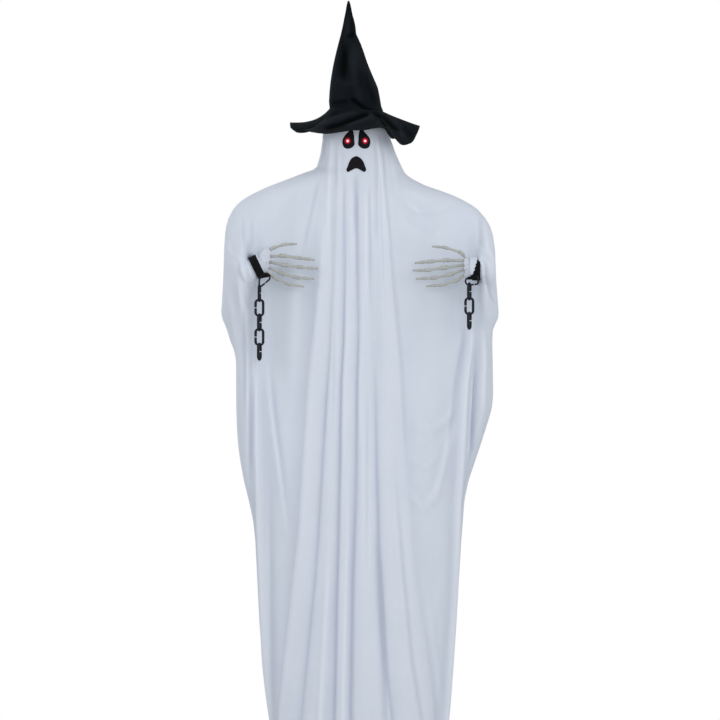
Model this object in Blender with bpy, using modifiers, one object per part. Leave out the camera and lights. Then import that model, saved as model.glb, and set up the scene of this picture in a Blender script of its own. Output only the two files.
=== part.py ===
"""Light-up ghost figure: a tube stand carries shoulders, a head and two arms under a white robe.

Metres, +Z up. The figure faces -Y and stands on z = 0, with its pole on the Z axis.
"""

import math

import bmesh
import bpy
from mathutils import Matrix, Vector

MM = 0.001
DEGREE = math.pi / 180

# Clearances
GAP = 0.3 * MM  # between two pieces that touch
WRIST_PLAY = 0.8 * MM  # between a hand and the sleeve it turns in
OVERRUN = 6 * MM  # how far a cutter passes the face it cuts
FUSE = 1 * MM  # how far shapes that become one piece reach into each other
WELD = 0.01 * MM  # points this close are one

# Stand
HUB_RADIUS = 50 * MM
HUB_HEIGHT = 40 * MM
LEG_COUNT = 4
LEG_RADIUS = 8 * MM
LEG_WALL = 1.2 * MM
LEG_REACH = 248 * MM  # from the pole's axis to the leg's end
LEG_SOCKET_DEPTH = 30 * MM
FOOT_RADIUS = 10.5 * MM
FOOT_LENGTH = 26 * MM
FOOT_END = 3 * MM
POLE_RADIUS = 9.5 * MM
POLE_WALL = 1.2 * MM
POLE_SOCKET_DEPTH = 30 * MM
POLE_SPIGOT = 40 * MM
BAR_HEIGHT = 1325 * MM  # shoulder bar's axis above the floor
BAR_RADIUS = 8 * MM
BAR_WALL = 1.2 * MM
TEE_RADIUS = 15 * MM
TEE_WEB = 8 * MM  # solid plastic between the tee's sockets and its cross bore
TEE_SOCKET_DEPTH = 28 * MM

# Shoulders and arms
CONNECTOR_X = 245 * MM
BAR_HALF = CONNECTOR_X - 9 * MM
CONNECTOR_SIZE = 36 * MM
CONNECTOR_DEPTH = 30 * MM
CONNECTOR_ROUND = 4 * MM
PAD_X = CONNECTOR_X - 45 * MM
PAD_RADII = (70 * MM, 42 * MM, 38 * MM)
ARM_RADIUS = 4 * MM
ARM_SOCKET_DEPTH = 14 * MM
ELBOW_X = CONNECTOR_X + 61 * MM
ELBOW_FORWARD = 20 * MM
ELBOW_HEIGHT = BAR_HEIGHT - 220 * MM
WRIST_FORWARD = 150 * MM
LEFT_WRIST_X = -CONNECTOR_X + 6 * MM
LEFT_WRIST_HEIGHT = BAR_HEIGHT - 124 * MM
LEFT_WRIST_TILT = 26 * DEGREE
RIGHT_WRIST_X = CONNECTOR_X + 31 * MM
RIGHT_WRIST_HEIGHT = BAR_HEIGHT - 130 * MM
RIGHT_WRIST_TILT = 0 * DEGREE
ARM_RUN_IN = 16 * MM  # straight end of the arm rod behind the wrist
ARM_END = 3.5 * MM  # how far the rod passes the wrist's centre

# Hands
PLUG_RADIUS = 21 * MM
PLUG_BACK = 12 * MM
PLUG_FRONT = 10 * MM
HAND_LENGTH = 150 * MM
HAND_THICKNESS = 16 * MM
PALM_WIDTH = 44 * MM
KNUCKLE_RADIUS = 5 * MM
BONE_RADIUS = 3.3 * MM
FINGERTIP_RADIUS = 2.2 * MM
FINGER_SHARES = {  # joints, forwards and upwards from the wrist, in hand lengths
    "thumb": ((0.13, 0.10), (0.15, 0.21), (0.27, 0.30), (0.47, 0.355), (0.65, 0.365)),
    "index": ((0.13, 0.12), (0.41, 0.155), (0.67, 0.14), (0.93, 0.11)),
    "middle": ((0.13, 0.05), (0.44, 0.02), (0.70, -0.01), (0.97, -0.02)),
    "ring": ((0.13, -0.02), (0.36, -0.10), (0.64, -0.165), (0.92, -0.175)),
    "little": ((0.14, -0.05), (0.29, -0.185), (0.51, -0.255), (0.75, -0.29)),
}

# Straps and chains
STRAP_THICKNESS = 2.5 * MM
STRAP_WIDTH = 19 * MM
SLEEVE_WALL = 2.1 * MM
SLEEVE_FLARE = 2 * MM
SLEEVE_FRONT = 14 * MM
SLEEVE_BACK = {"left": 36 * MM, "right": 20 * MM}
LOOP_WALL = 1.6 * MM
LOOP_STAND = 0.9 * MM  # room between the strap and the link in its loop
LOOP_LENGTH = 10 * MM
LINK_LENGTH = 43 * MM
LINK_WIDTH = 22 * MM
LINK_WIRE = 4.2 * MM
LINK_SLIT = 1.6 * MM
LEFT_LINK_COUNT = 6
RIGHT_LINK_COUNT = 4
FIRST_LINK_TILT = {"left": 40 * DEGREE, "right": 7 * DEGREE}
LOOP_SHIFT = {"left": 9 * MM, "right": -7 * MM}  # strap loop's place beside the wrist's centre
LOOP_FORWARD = {"left": 13 * MM, "right": 22 * MM}

# Head
HEAD_X = -5 * MM
HEAD_HEIGHT = BAR_HEIGHT + 175 * MM
HEAD_RADII = (76.5 * MM, 86 * MM, 96.5 * MM)
HEAD_WALL = 2.5 * MM
NECK_PLUG_RADIUS = 30 * MM
NECK_FLANGE = 6 * MM
NECK_FLANGE_THICKNESS = 5 * MM
NECK_PLUG_LENGTH = 24 * MM
WIRE_HOLE_RADIUS = 3 * MM
WIRE_HOLE_Y = 19 * MM
EYE_SPACING = 41 * MM
EYE_DROP = 3 * MM  # lights' height under the head's centre
LED_RADIUS = 2.5 * MM
LED_FLANGE = 0.4 * MM
LED_LENGTH = 17 * MM
LED_PROUD = 2.5 * MM  # dome in front of the face
HOLDER_RADIUS = 4.3 * MM
HOLDER_FLANGE = 2 * MM
HOLDER_LENGTH = 9 * MM
HOLDER_FLANGE_THICKNESS = 1.5 * MM
WIRE_RADIUS = 0.9 * MM

# Face
FELT = 1.6 * MM
EYE_WIDTH = 30 * MM
EYE_HEIGHT = 50 * MM
MOUTH_WIDTH = 47 * MM
MOUTH_HEIGHT = 36 * MM
MOUTH_DROP = 54 * MM
EYE_SHARES = (  # outline round the light, of width and height; the inner side is +
    (0.20, 0.60), (0.02, 0.40), (-0.24, 0.17), (-0.44, -0.05), (-0.36, -0.31),
    (-0.04, -0.38), (0.36, -0.32), (0.54, -0.12), (0.52, 0.22), (0.38, 0.52),
)
MOUTH_SHARES = (  # outline round its centre, of width and height
    (0.0, 0.50), (-0.25, 0.25), (-0.42, -0.10), (-0.50, -0.42), (-0.41, -0.50),
    (-0.22, -0.34), (0.0, -0.28), (0.22, -0.34), (0.41, -0.50), (0.50, -0.42),
    (0.42, -0.10), (0.25, 0.25),
)

# Batteries and switch
CELL_RADIUS = 7.25 * MM
CELL_LENGTH = 50.5 * MM
CELL_PITCH = 15.4 * MM
CASE_WALL = 1.6 * MM
CASE_WIDTH = 36 * MM
CASE_DEPTH = 21 * MM
CASE_BOTTOM = BAR_HEIGHT - 160 * MM
SWITCH_BLOCK = 16 * MM
CONTACT_THICKNESS = 0.6 * MM
CLIP_WALL = 3 * MM
CLIP_HEIGHT = 14 * MM
DOOR_WALL = 1.4 * MM
DOOR_LIP = 4 * MM
KNOB_SIZE = 4 * MM
KNOB_PROUD = 2 * MM
KNOB_DEPTH = 5 * MM
KNOB_TRAVEL = 3 * MM

# Robe
CLOTH = 2 * MM
HEM_HEIGHT = 24 * MM
ROBE_HALF_WIDTH = ELBOW_X + 24 * MM
ROBE_DEPTH = HEAD_RADII[1] + 54 * MM
HEAD_EASE = 1.5 * MM  # room between the head and the cloth over it
RING_POWER = 2.2  # how square the robe's cross-sections are
CROWN_ANGLES = (14, 31, 48, 64, 79, 92)  # degrees down from the crown
SEAT_ANGLE = 48  # where the hat rests on the crown
SPAN_SHARE = 5.7309  # span that ring heights are shares of, in heights of the crown above the bar
SKIRT_SHARE = 0.540  # below this ring the skirt takes up the rest of the height
ROBE_SHARES = (  # height, left, right, front, back: of the span, half width and depth
    (0.910, 0.272, 0.275, 0.620, 0.645),
    (0.891, 0.297, 0.321, 0.610, 0.630),
    (0.877, 0.547, 0.403, 0.615, 0.630),
    (0.864, 0.686, 0.555, 0.630, 0.655),
    (0.845, 0.844, 0.762, 0.660, 0.715),
    (0.815, 0.936, 0.921, 0.700, 0.770),
    (0.777, 0.964, 0.971, 0.755, 0.815),
    (0.739, 0.973, 0.985, 0.815, 0.845),
    (0.705, 0.980, 0.990, 0.845, 0.865),
    (0.673, 0.994, 1.000, 0.860, 0.880),
    (0.638, 0.912, 0.955, 0.860, 0.885),
    (0.540, 0.873, 0.962, 0.870, 0.900),
    (0.423, 0.819, 0.779, 0.900, 0.915),
    (0.366, 0.755, 0.747, 0.915, 0.930),
    (0.264, 0.729, 0.716, 0.945, 0.940),
    (0.074, 0.649, 0.648, 1.000, 0.970),
    (0.0, 0.615, 0.615, 1.020, 0.985),
)
FRONT_COLUMN_SHARES = (0.09, 0.19, 0.30, 0.41, 0.52, 0.63, 0.74, 0.84, 0.92)
BACK_COLUMN_SHARES = (0.14, 0.31, 0.48, 0.66, 0.84)
PLEAT_DEPTH = 14 * MM
PLEAT_START_SHARE = 0.87  # of robe height: the folds begin under the chin
ARM_BULGE = 128 * MM  # how far a wrist pushes the cloth forwards
BULGE_X = {"left": LEFT_WRIST_X - 33 * MM, "right": RIGHT_WRIST_X + 23 * MM}
BULGE_INNER = 16 * MM
BULGE_OUTER = 45 * MM
BULGE_HEIGHT = 60 * MM

# Hat
HAT_CLOTH = 2.2 * MM
HAT_HEIGHT = 263 * MM  # from its seat to the tip
HAT_EASE = 1.4 * MM
CONE_SHARES = (  # height, centre, half width: of hat height, seat half width, seat half width
    (0.0, -0.04, 1.0), (0.13, -0.04, 0.99), (0.27, -0.06, 0.90), (0.40, -0.10, 0.80),
    (0.53, -0.13, 0.65), (0.64, -0.14, 0.52), (0.75, -0.15, 0.39), (0.86, -0.17, 0.27),
    (0.94, -0.20, 0.15), (0.98, -0.24, 0.08),
)
CONE_TIP_SHARE = -0.26
CONE_FOLD = 2.5 * MM
CONE_SIDES = 20
BRIM_REACH = 92 * MM
BRIM_DROOP = 45 * MM
BRIM_SIDES = 2 * CONE_SIDES
BRIM_RING_SHARES = (0.0, 0.35, 0.7, 1.0)
BRIM_WAVE = 7 * MM
BRIM_LOBE = 26 * MM
BRIM_LOBE_ANGLE = -24 * DEGREE
BRIM_LOBE_SPREAD = 20 * DEGREE

TURN_STEPS = 16
FINE_TURN_STEPS = 12

SIGN = {"left": -1, "right": 1}
ROBE_TOP = HEAD_HEIGHT + HEAD_RADII[2] + CLOTH + HEAD_EASE
ROBE_HEIGHT = ROBE_TOP - HEM_HEIGHT
UPPER_SPAN = SPAN_SHARE * (ROBE_TOP - BAR_HEIGHT)
SLEEVE_RADIUS = PLUG_RADIUS + WRIST_PLAY + SLEEVE_WALL
STRAP_RADIUS = SLEEVE_RADIUS + GAP + STRAP_THICKNESS
LINK_PITCH = LINK_LENGTH - 2 * LINK_WIRE - GAP


def collection(name, hidden=False):
    """A new collection of this name in the scene."""
    made = bpy.data.collections.new(name)
    bpy.context.scene.collection.children.link(made)
    made.hide_render = hidden
    return made


def material(name, colour, roughness, metallic=0.0):
    """A Principled material of one colour."""
    made = bpy.data.materials.new(name)
    made.use_nodes = True
    shader = made.node_tree.nodes["Principled BSDF"]
    shader.inputs["Base Color"].default_value = (*colour, 1)
    shader.inputs["Roughness"].default_value = roughness
    shader.inputs["Metallic"].default_value = metallic
    made.diffuse_color = (*colour, 1)
    return made


def along(start, direction):
    """A matrix that puts local +Z on this direction, from this point."""
    turn = Vector(direction).to_track_quat("Z", "Y").to_matrix().to_4x4()
    return Matrix.Translation(start) @ turn


def place(obj, look=None, hidden=False):
    """Links an object to the figure's collection, or to the cutters'."""
    if hidden:
        cutters.objects.link(obj)
        obj.hide_render = True
        obj.display_type = "WIRE"
    else:
        parts.objects.link(obj)
        obj.parent = figure
        obj.data.materials.append(look)
    return obj


def from_bmesh(name, bm, matrix=None):
    """An object, not yet linked, that holds this bmesh."""
    mesh = bpy.data.meshes.new(name)
    bm.to_mesh(mesh)
    bm.free()
    obj = bpy.data.objects.new(name, mesh)
    obj.matrix_world = matrix or Matrix()
    return obj


def box(name, low, high, look=None, hidden=False, rounding=0):
    """A box from one corner to the other."""
    low = Vector(low)
    high = Vector(high)
    bm = bmesh.new()
    bmesh.ops.create_cube(bm, size=1)
    bmesh.ops.scale(bm, vec=high - low, verts=bm.verts[:])
    obj = place(from_bmesh(name, bm, Matrix.Translation((low + high) / 2)), look, hidden)
    if rounding:
        bevel = obj.modifiers.new("Bevel", "BEVEL")
        bevel.width = rounding
        bevel.segments = 2
    return obj


def cylinder(name, start, end, radius, look=None, hidden=False, sides=TURN_STEPS):
    """A cylinder between the centres of its end faces."""
    start = Vector(start)
    run = Vector(end) - start
    bm = bmesh.new()
    bmesh.ops.create_cone(
        bm, cap_ends=True, segments=sides, radius1=radius, radius2=radius, depth=run.length
    )
    bmesh.ops.translate(bm, vec=(0, 0, run.length / 2), verts=bm.verts[:])
    return place(from_bmesh(name, bm, along(start, run)), look, hidden)


def turned(name, profile, matrix, look=None, hidden=False, steps=TURN_STEPS, loop=False):
    """A Screw of (radius, height) points that run down the outer side; a loop makes a ring."""
    mesh = bpy.data.meshes.new(name)
    edges = [(i, i + 1) for i in range(len(profile) - 1)]
    if loop:
        edges.append((len(profile) - 1, 0))
    mesh.from_pydata([(radius, 0, height) for radius, height in profile], edges, [])
    obj = bpy.data.objects.new(name, mesh)
    obj.matrix_world = matrix
    screw = obj.modifiers.new("Screw", "SCREW")
    screw.steps = steps
    screw.render_steps = steps
    screw.use_merge_vertices = True
    screw.merge_threshold = WELD
    return place(obj, look, hidden)


def tube(name, start, end, radius, wall, look, spigot=0):
    """An open tube, whose far end can be drawn down to a spigot that fits its own bore."""
    run = Vector(end) - Vector(start)
    length = run.length
    bore = radius - wall
    profile = [(radius, length), (radius, 0), (bore, 0), (bore, length)]
    if spigot:
        neck = bore - GAP
        profile = [
            (neck, length + spigot), (neck, length), (radius, length), (radius, 0),
            (bore, 0), (bore, length - wall), (neck - wall, length), (neck - wall, length + spigot),
        ]
    return turned(name, profile, along(start, run), look, loop=True)


def smooth(points, steps, leave=None):
    """Points of a Catmull-Rom curve through these points, which can leave along a given vector."""
    points = [Vector(p) for p in points]
    beyond = points[-2] + 2 * leave if leave else 2 * points[-1] - points[-2]
    padded = [2 * points[0] - points[1], *points, beyond]
    found = []
    for a, b, c, d in zip(padded, padded[1:], padded[2:], padded[3:]):
        for step in range(steps):
            t = step / steps
            cubic = (3 * (b - c) + d - a) * t**3 + (2 * a - 5 * b + 4 * c - d) * t**2
            found.append(b + ((c - a) * t + cubic) / 2)
    return [*found, points[-1]]


def wire(name, points, radius, look=None, resolution=1, sizes=None):
    """A POLY curve with a round bevel and filled caps; sizes scale its radius at each point."""
    data = bpy.data.curves.new(name, "CURVE")
    data.dimensions = "3D"
    data.bevel_depth = radius
    data.bevel_resolution = resolution
    data.use_fill_caps = True
    spline = data.splines.new("POLY")
    spline.points.add(len(points) - 1)
    for i, (point, co) in enumerate(zip(spline.points, points)):
        point.co = (*co, 1)
        point.radius = sizes[i] if sizes else 1
    obj = bpy.data.objects.new(name, data)
    if look:
        place(obj, look)
    return obj


def plate(name, outline, thickness, matrix):
    """A flat outline in local X and Y with this thickness, centred on local z = 0."""
    data = bpy.data.curves.new(name, "CURVE")
    data.dimensions = "2D"
    data.fill_mode = "BOTH"
    data.extrude = thickness / 2
    spline = data.splines.new("POLY")
    spline.points.add(len(outline) - 1)
    for point, (x, y) in zip(spline.points, outline):
        point.co = (x, y, 0, 1)
    spline.use_cyclic_u = True
    obj = bpy.data.objects.new(name, data)
    obj.matrix_world = matrix
    return obj


def as_mesh(curve, hidden=False, look=None):
    """The curve as a welded mesh object, so that a Boolean can use it."""
    bpy.context.scene.collection.objects.link(curve)
    bpy.context.view_layer.update()
    evaluated = curve.evaluated_get(bpy.context.evaluated_depsgraph_get())
    mesh = bpy.data.meshes.new_from_object(evaluated)
    name = curve.name
    matrix = curve.matrix_world.copy()
    bpy.data.objects.remove(curve)
    bm = bmesh.new()
    bm.from_mesh(mesh)
    bpy.data.meshes.remove(mesh)
    bmesh.ops.remove_doubles(bm, verts=bm.verts[:], dist=WELD)
    bmesh.ops.recalc_face_normals(bm, faces=bm.faces[:])
    return place(from_bmesh(name, bm, matrix), look, hidden)


def boolean(obj, other, operation="DIFFERENCE"):
    """Adds an exact Boolean to the object."""
    modifier = obj.modifiers.new(operation.title(), "BOOLEAN")
    modifier.operation = operation
    modifier.object = other
    return obj


def pivot(obj, point):
    """Moves the object's origin to this point and leaves its shape in place."""
    shift = obj.matrix_world.inverted() @ Vector(point)
    if obj.type == "CURVE":
        for spline in obj.data.splines:
            for p in spline.points:
                p.co = (*(p.co.xyz - shift), 1)
    else:
        obj.data.transform(Matrix.Translation(-shift))
    obj.matrix_world = Matrix.Translation(obj.matrix_world @ shift) @ obj.matrix_world.to_3x3().to_4x4()
    return obj


def stand():
    """Hub, legs with rubber feet, and the pole in three lengths."""
    hub = cylinder("base_hub", (0, 0, 0), (0, 0, HUB_HEIGHT), HUB_RADIUS, looks["plastic"])
    seat = HUB_HEIGHT - POLE_SOCKET_DEPTH
    boolean(hub, cylinder(
        "hub_pole_cut", (0, 0, seat), (0, 0, HUB_HEIGHT + OVERRUN), POLE_RADIUS + GAP, hidden=True
    ))
    inner = HUB_RADIUS - LEG_SOCKET_DEPTH
    for number in range(LEG_COUNT):
        angle = (number + 0.5) * 2 * math.pi / LEG_COUNT
        out = Vector((math.cos(angle), math.sin(angle), 0))
        axis = Vector((0, 0, FOOT_RADIUS))
        boolean(hub, cylinder(
            f"hub_leg_cut_{number + 1}", axis + out * inner, axis + out * (HUB_RADIUS + OVERRUN),
            LEG_RADIUS + GAP, hidden=True,
        ))
        tube(
            f"base_leg_{number + 1}", axis + out * (inner + GAP), axis + out * LEG_REACH,
            LEG_RADIUS, LEG_WALL, looks["black_steel"],
        )
        mouth = LEG_REACH + GAP + FOOT_END - FOOT_LENGTH
        bore = LEG_RADIUS + GAP
        turned(
            f"foot_cap_{number + 1}",
            [(0, FOOT_LENGTH), (FOOT_RADIUS, FOOT_LENGTH), (FOOT_RADIUS, 0), (bore, 0),
             (bore, FOOT_LENGTH - FOOT_END), (0, FOOT_LENGTH - FOOT_END)],
            along(axis + out * mouth, out), looks["rubber"],
        )
    top = BAR_HEIGHT - BAR_RADIUS - TEE_WEB - GAP
    bottom = seat + GAP
    section = (top - bottom) / 3
    for number, name in enumerate(("lower_pole", "middle_pole", "upper_pole")):
        start = bottom + number * section
        spigot = 0 if number == 2 else POLE_SPIGOT
        end = bottom + (number + 1) * section - (GAP if spigot else 0)
        tube(name, (0, 0, start), (0, 0, end), POLE_RADIUS, POLE_WALL, looks["black_steel"], spigot)


def shoulders():
    """Tee, shoulder bar, end connectors and the foam saddles over them."""
    low = BAR_HEIGHT - BAR_RADIUS - TEE_WEB - TEE_SOCKET_DEPTH
    high = BAR_HEIGHT + BAR_RADIUS + TEE_WEB + TEE_SOCKET_DEPTH
    tee = cylinder("shoulder_tee", (0, 0, low), (0, 0, high), TEE_RADIUS, looks["plastic"])
    boolean(tee, cylinder(
        "tee_pole_cut", (0, 0, low - OVERRUN), (0, 0, low + TEE_SOCKET_DEPTH), POLE_RADIUS + GAP, hidden=True
    ))
    boolean(tee, cylinder(
        "tee_neck_cut", (0, 0, high - TEE_SOCKET_DEPTH), (0, 0, high + OVERRUN), BAR_RADIUS + GAP, hidden=True
    ))
    boolean(tee, cylinder(
        "tee_bar_cut", (-TEE_RADIUS - OVERRUN, 0, BAR_HEIGHT), (TEE_RADIUS + OVERRUN, 0, BAR_HEIGHT),
        BAR_RADIUS + GAP, hidden=True,
    ))
    tube("shoulder_bar", (-BAR_HALF, 0, BAR_HEIGHT), (BAR_HALF, 0, BAR_HEIGHT), BAR_RADIUS, BAR_WALL,
         looks["black_steel"])
    for side, sign in SIGN.items():
        connector(side, sign)
        shoulder_pad(side, sign)


def connector_bottom():
    """Height of the connectors' lower face."""
    return BAR_HEIGHT - CONNECTOR_SIZE / 2 - (CONNECTOR_SIZE / 2 - BAR_RADIUS) / 2


def connector(side, sign):
    """Plastic block that joins the shoulder bar to an arm rod."""
    half = CONNECTOR_SIZE / 2
    bottom = connector_bottom()
    block = box(
        f"{side}_shoulder_connector",
        (sign * CONNECTOR_X - half, -CONNECTOR_DEPTH / 2, bottom),
        (sign * CONNECTOR_X + half, CONNECTOR_DEPTH / 2, bottom + CONNECTOR_SIZE),
        looks["plastic"], rounding=CONNECTOR_ROUND,
    )
    boolean(block, cylinder(
        f"{side}_bar_cut", (sign * (CONNECTOR_X - half - OVERRUN), 0, BAR_HEIGHT),
        (sign * (BAR_HALF + GAP), 0, BAR_HEIGHT), BAR_RADIUS + GAP, hidden=True,
    ))
    boolean(block, cylinder(
        f"{side}_arm_cut", (sign * CONNECTOR_X, 0, bottom - OVERRUN),
        (sign * CONNECTOR_X, 0, bottom + ARM_SOCKET_DEPTH), ARM_RADIUS + GAP, hidden=True,
    ))


def shoulder_pad(side, sign):
    """Foam saddle on the bar and its connector, rounded under the robe."""
    bm = bmesh.new()
    bmesh.ops.create_uvsphere(bm, u_segments=16, v_segments=10, radius=1)
    bmesh.ops.scale(bm, vec=PAD_RADII, verts=bm.verts[:])
    pad = place(
        from_bmesh(f"{side}_shoulder_pad", bm, Matrix.Translation((sign * PAD_X, 0, BAR_HEIGHT))),
        looks["foam"],
    )
    reach = PAD_RADII[0] + OVERRUN
    deep = PAD_RADII[1] + OVERRUN
    boolean(pad, box(
        f"{side}_pad_floor_cut", (sign * PAD_X - reach, -deep, BAR_HEIGHT - PAD_RADII[2] - OVERRUN),
        (sign * PAD_X + reach, deep, BAR_HEIGHT), hidden=True,
    ))
    boolean(pad, cylinder(
        f"{side}_pad_bar_cut", (sign * PAD_X - reach, 0, BAR_HEIGHT), (sign * PAD_X + reach, 0, BAR_HEIGHT),
        BAR_RADIUS + GAP, hidden=True,
    ))
    half = CONNECTOR_SIZE / 2 + GAP
    boolean(pad, box(
        f"{side}_pad_connector_cut",
        (sign * CONNECTOR_X - half, -CONNECTOR_DEPTH / 2 - GAP, BAR_HEIGHT - CONNECTOR_SIZE),
        (sign * CONNECTOR_X + half, CONNECTOR_DEPTH / 2 + GAP, connector_bottom() + CONNECTOR_SIZE + GAP),
        hidden=True,
    ))


def wrist(side):
    """Centre of a wrist."""
    if side == "left":
        return Vector((LEFT_WRIST_X, -WRIST_FORWARD, LEFT_WRIST_HEIGHT))
    return Vector((RIGHT_WRIST_X, -WRIST_FORWARD, RIGHT_WRIST_HEIGHT))


def wrist_axis(side):
    """Unit vector along a wrist, towards the fingers."""
    tilt = LEFT_WRIST_TILT if side == "left" else RIGHT_WRIST_TILT
    return Vector((-SIGN[side] * math.cos(tilt), 0, math.sin(tilt)))


def arm(side, sign):
    """Bent steel rod from the connector over the elbow to the wrist."""
    centre = wrist(side)
    axis = wrist_axis(side)
    shoulder = Vector((sign * CONNECTOR_X, 0, connector_bottom() + ARM_SOCKET_DEPTH - GAP))
    straight = shoulder - Vector((0, 0, 2 * ARM_SOCKET_DEPTH))
    elbow = Vector((sign * ELBOW_X, -ELBOW_FORWARD, ELBOW_HEIGHT))
    run_in = centre - axis * ARM_RUN_IN
    forearm = elbow.lerp(run_in, 0.5)
    leave = axis * (run_in - forearm).length
    points = smooth([straight, straight.lerp(elbow, 0.5), elbow, forearm, run_in], 6, leave)
    wire(f"{side}_arm_rod", [shoulder, *points, centre + axis * ARM_END], ARM_RADIUS, looks["black_steel"])


def finger(name, joints, centre, forwards):
    """One finger: bones that swell at their joints and end in a point."""
    points = []
    sizes = []
    places = [centre + HAND_LENGTH * (a * forwards + b * Vector((0, 0, 1))) for a, b in joints]
    for number, (start, end) in enumerate(zip(places, places[1:])):
        points += [start, start.lerp(end, 0.25), start.lerp(end, 0.78)]
        bone = 1 - 0.1 * number
        sizes += [bone, bone * BONE_RADIUS / KNUCKLE_RADIUS, bone * BONE_RADIUS / KNUCKLE_RADIUS]
    points.append(places[-1])
    sizes.append(FINGERTIP_RADIUS / KNUCKLE_RADIUS)
    return as_mesh(wire(name, points, KNUCKLE_RADIUS, sizes=sizes), hidden=True)


def hand(side):
    """Skeleton hand: a wrist plug that turns on the arm rod, a palm and five fingers."""
    centre = wrist(side)
    axis = wrist_axis(side)
    forwards = Vector((-SIGN[side], 0, 0))
    plug = cylinder(
        f"{side}_hand", centre - axis * PLUG_BACK, centre + axis * PLUG_FRONT, PLUG_RADIUS, looks["bone"]
    )
    bm = bmesh.new()
    bmesh.ops.create_uvsphere(bm, u_segments=12, v_segments=8, radius=1)
    palm_half = HAND_LENGTH * 0.14
    bmesh.ops.scale(bm, vec=(palm_half, HAND_THICKNESS / 2, PALM_WIDTH / 2), verts=bm.verts[:])
    palm = place(
        from_bmesh(f"{side}_palm", bm, Matrix.Translation(centre + axis * (PLUG_FRONT + palm_half / 2))),
        hidden=True,
    )
    boolean(plug, palm, "UNION")
    for name, joints in FINGER_SHARES.items():
        boolean(plug, finger(f"{side}_{name}", joints, centre, forwards), "UNION")
    boolean(plug, cylinder(
        f"{side}_plug_cut", centre - axis * (PLUG_BACK + OVERRUN), centre + axis * (ARM_END + GAP),
        ARM_RADIUS + GAP, hidden=True,
    ))
    pivot(plug, centre)


def sleeve(side):
    """Gathered sleeve end between the robe and the hand, held by the strap."""
    edge = STRAP_WIDTH / 2 + STRAP_THICKNESS
    outer = [
        (SLEEVE_RADIUS + SLEEVE_FLARE, SLEEVE_FRONT), (SLEEVE_RADIUS, edge),
        (SLEEVE_RADIUS, -SLEEVE_BACK[side]),
    ]
    inner = [(radius - SLEEVE_WALL, height) for radius, height in reversed(outer)]
    turned(f"{side}_sleeve", outer + inner, along(wrist(side), wrist_axis(side)), looks["robe"],
           loop=True)


def sleeve_cut(side):
    """Cutter for the way of a sleeve and its strap through the robe."""
    radius = SLEEVE_RADIUS + GAP
    room = STRAP_RADIUS + GAP
    step = -STRAP_WIDTH / 2 - GAP
    back = -SLEEVE_BACK[side] - OVERRUN
    ends = [(0, SLEEVE_FRONT), (room, SLEEVE_FRONT), (room, step), (radius, step), (radius, back), (0, back)]
    return turned(f"{side}_sleeve_cut", ends, along(wrist(side), wrist_axis(side)), hidden=True)


def loop_centre(side):
    """Centre of the strap's small loop, which the first chain link hangs in."""
    radius = STRAP_RADIUS + LINK_WIRE / 2 + LOOP_STAND
    shift = LOOP_SHIFT[side]
    forward = LOOP_FORWARD[side]
    drop = math.sqrt(radius**2 - shift**2 - forward**2)
    return wrist(side) + Vector((shift, -forward, -drop))


def first_link_axis(side):
    """Unit vector along the first link, up and to the right."""
    tilt = FIRST_LINK_TILT[side]
    return Vector((math.cos(tilt), 0, math.sin(tilt)))


def strap(side):
    """Fabric strap round the sleeve, with the loop for the chain under it."""
    half = STRAP_WIDTH / 2
    inner = STRAP_RADIUS - STRAP_THICKNESS
    band = turned(
        f"{side}_strap",
        [(STRAP_RADIUS, half), (STRAP_RADIUS, -half), (inner, -half), (inner, half)],
        along(wrist(side), wrist_axis(side)), looks["strap"], loop=True,
    )
    centre = loop_centre(side)
    run = first_link_axis(side) * LOOP_LENGTH / 2
    hole = LINK_WIRE / 2 + GAP
    boolean(band, cylinder(
        f"{side}_loop", centre - run, centre + run, hole + LOOP_WALL, hidden=True, sides=FINE_TURN_STEPS
    ), "UNION")
    boolean(band, cylinder(
        f"{side}_strap_bore", wrist(side) - wrist_axis(side) * STRAP_WIDTH,
        wrist(side) + wrist_axis(side) * STRAP_WIDTH, inner, hidden=True,
    ))
    reach = first_link_axis(side) * STRAP_WIDTH
    boolean(band, cylinder(
        f"{side}_loop_cut", centre - reach, centre + reach, hole, hidden=True, sides=FINE_TURN_STEPS
    ))


def link_points(centre, long_axis, short_axis):
    """Path of an open chain link, from one side of its slit round to the other."""
    arc = (LINK_WIDTH - LINK_WIRE) / 2
    straight = LINK_LENGTH / 2 - LINK_WIRE / 2 - arc
    slit = LINK_SLIT / 2
    ends = ((straight, 0), (-straight, math.pi))
    path = [(slit, arc)]
    for height, start in ends:
        for step in range(7):
            angle = start + math.pi * step / 6
            path.append((height + arc * math.sin(angle), arc * math.cos(angle)))
    path.append((-slit, arc))
    return [centre + long_axis * a + short_axis * b for a, b in path]


def chain(side):
    """Chain of open links; the first lies in the strap's loop and the rest hang from it."""
    axis = first_link_axis(side)
    across = Vector((axis.z, 0, -axis.x))
    arc = (LINK_WIDTH - LINK_WIRE) / 2
    centre = loop_centre(side) + across * arc
    wire(f"{side}_link_1", link_points(centre, axis, across), LINK_WIRE / 2, looks["chain"])
    low_arc = centre - axis * (LINK_LENGTH / 2 - LINK_WIRE / 2 - arc)
    hang = low_arc + Vector((0, 0, -arc + LINK_WIRE + GAP))
    up = Vector((0, 0, 1))
    count = LEFT_LINK_COUNT if side == "left" else RIGHT_LINK_COUNT
    for number in range(2, count + 1):
        short = Vector((0, -1, 0)) if number % 2 == 0 else Vector((-1, 0, 0))
        middle = hang - up * (LINK_LENGTH - LINK_WIRE) / 2
        link = wire(f"{side}_link_{number}", link_points(middle, up, short), LINK_WIRE / 2, looks["chain"])
        pivot(link, hang)
        hang = hang - up * LINK_PITCH


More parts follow.
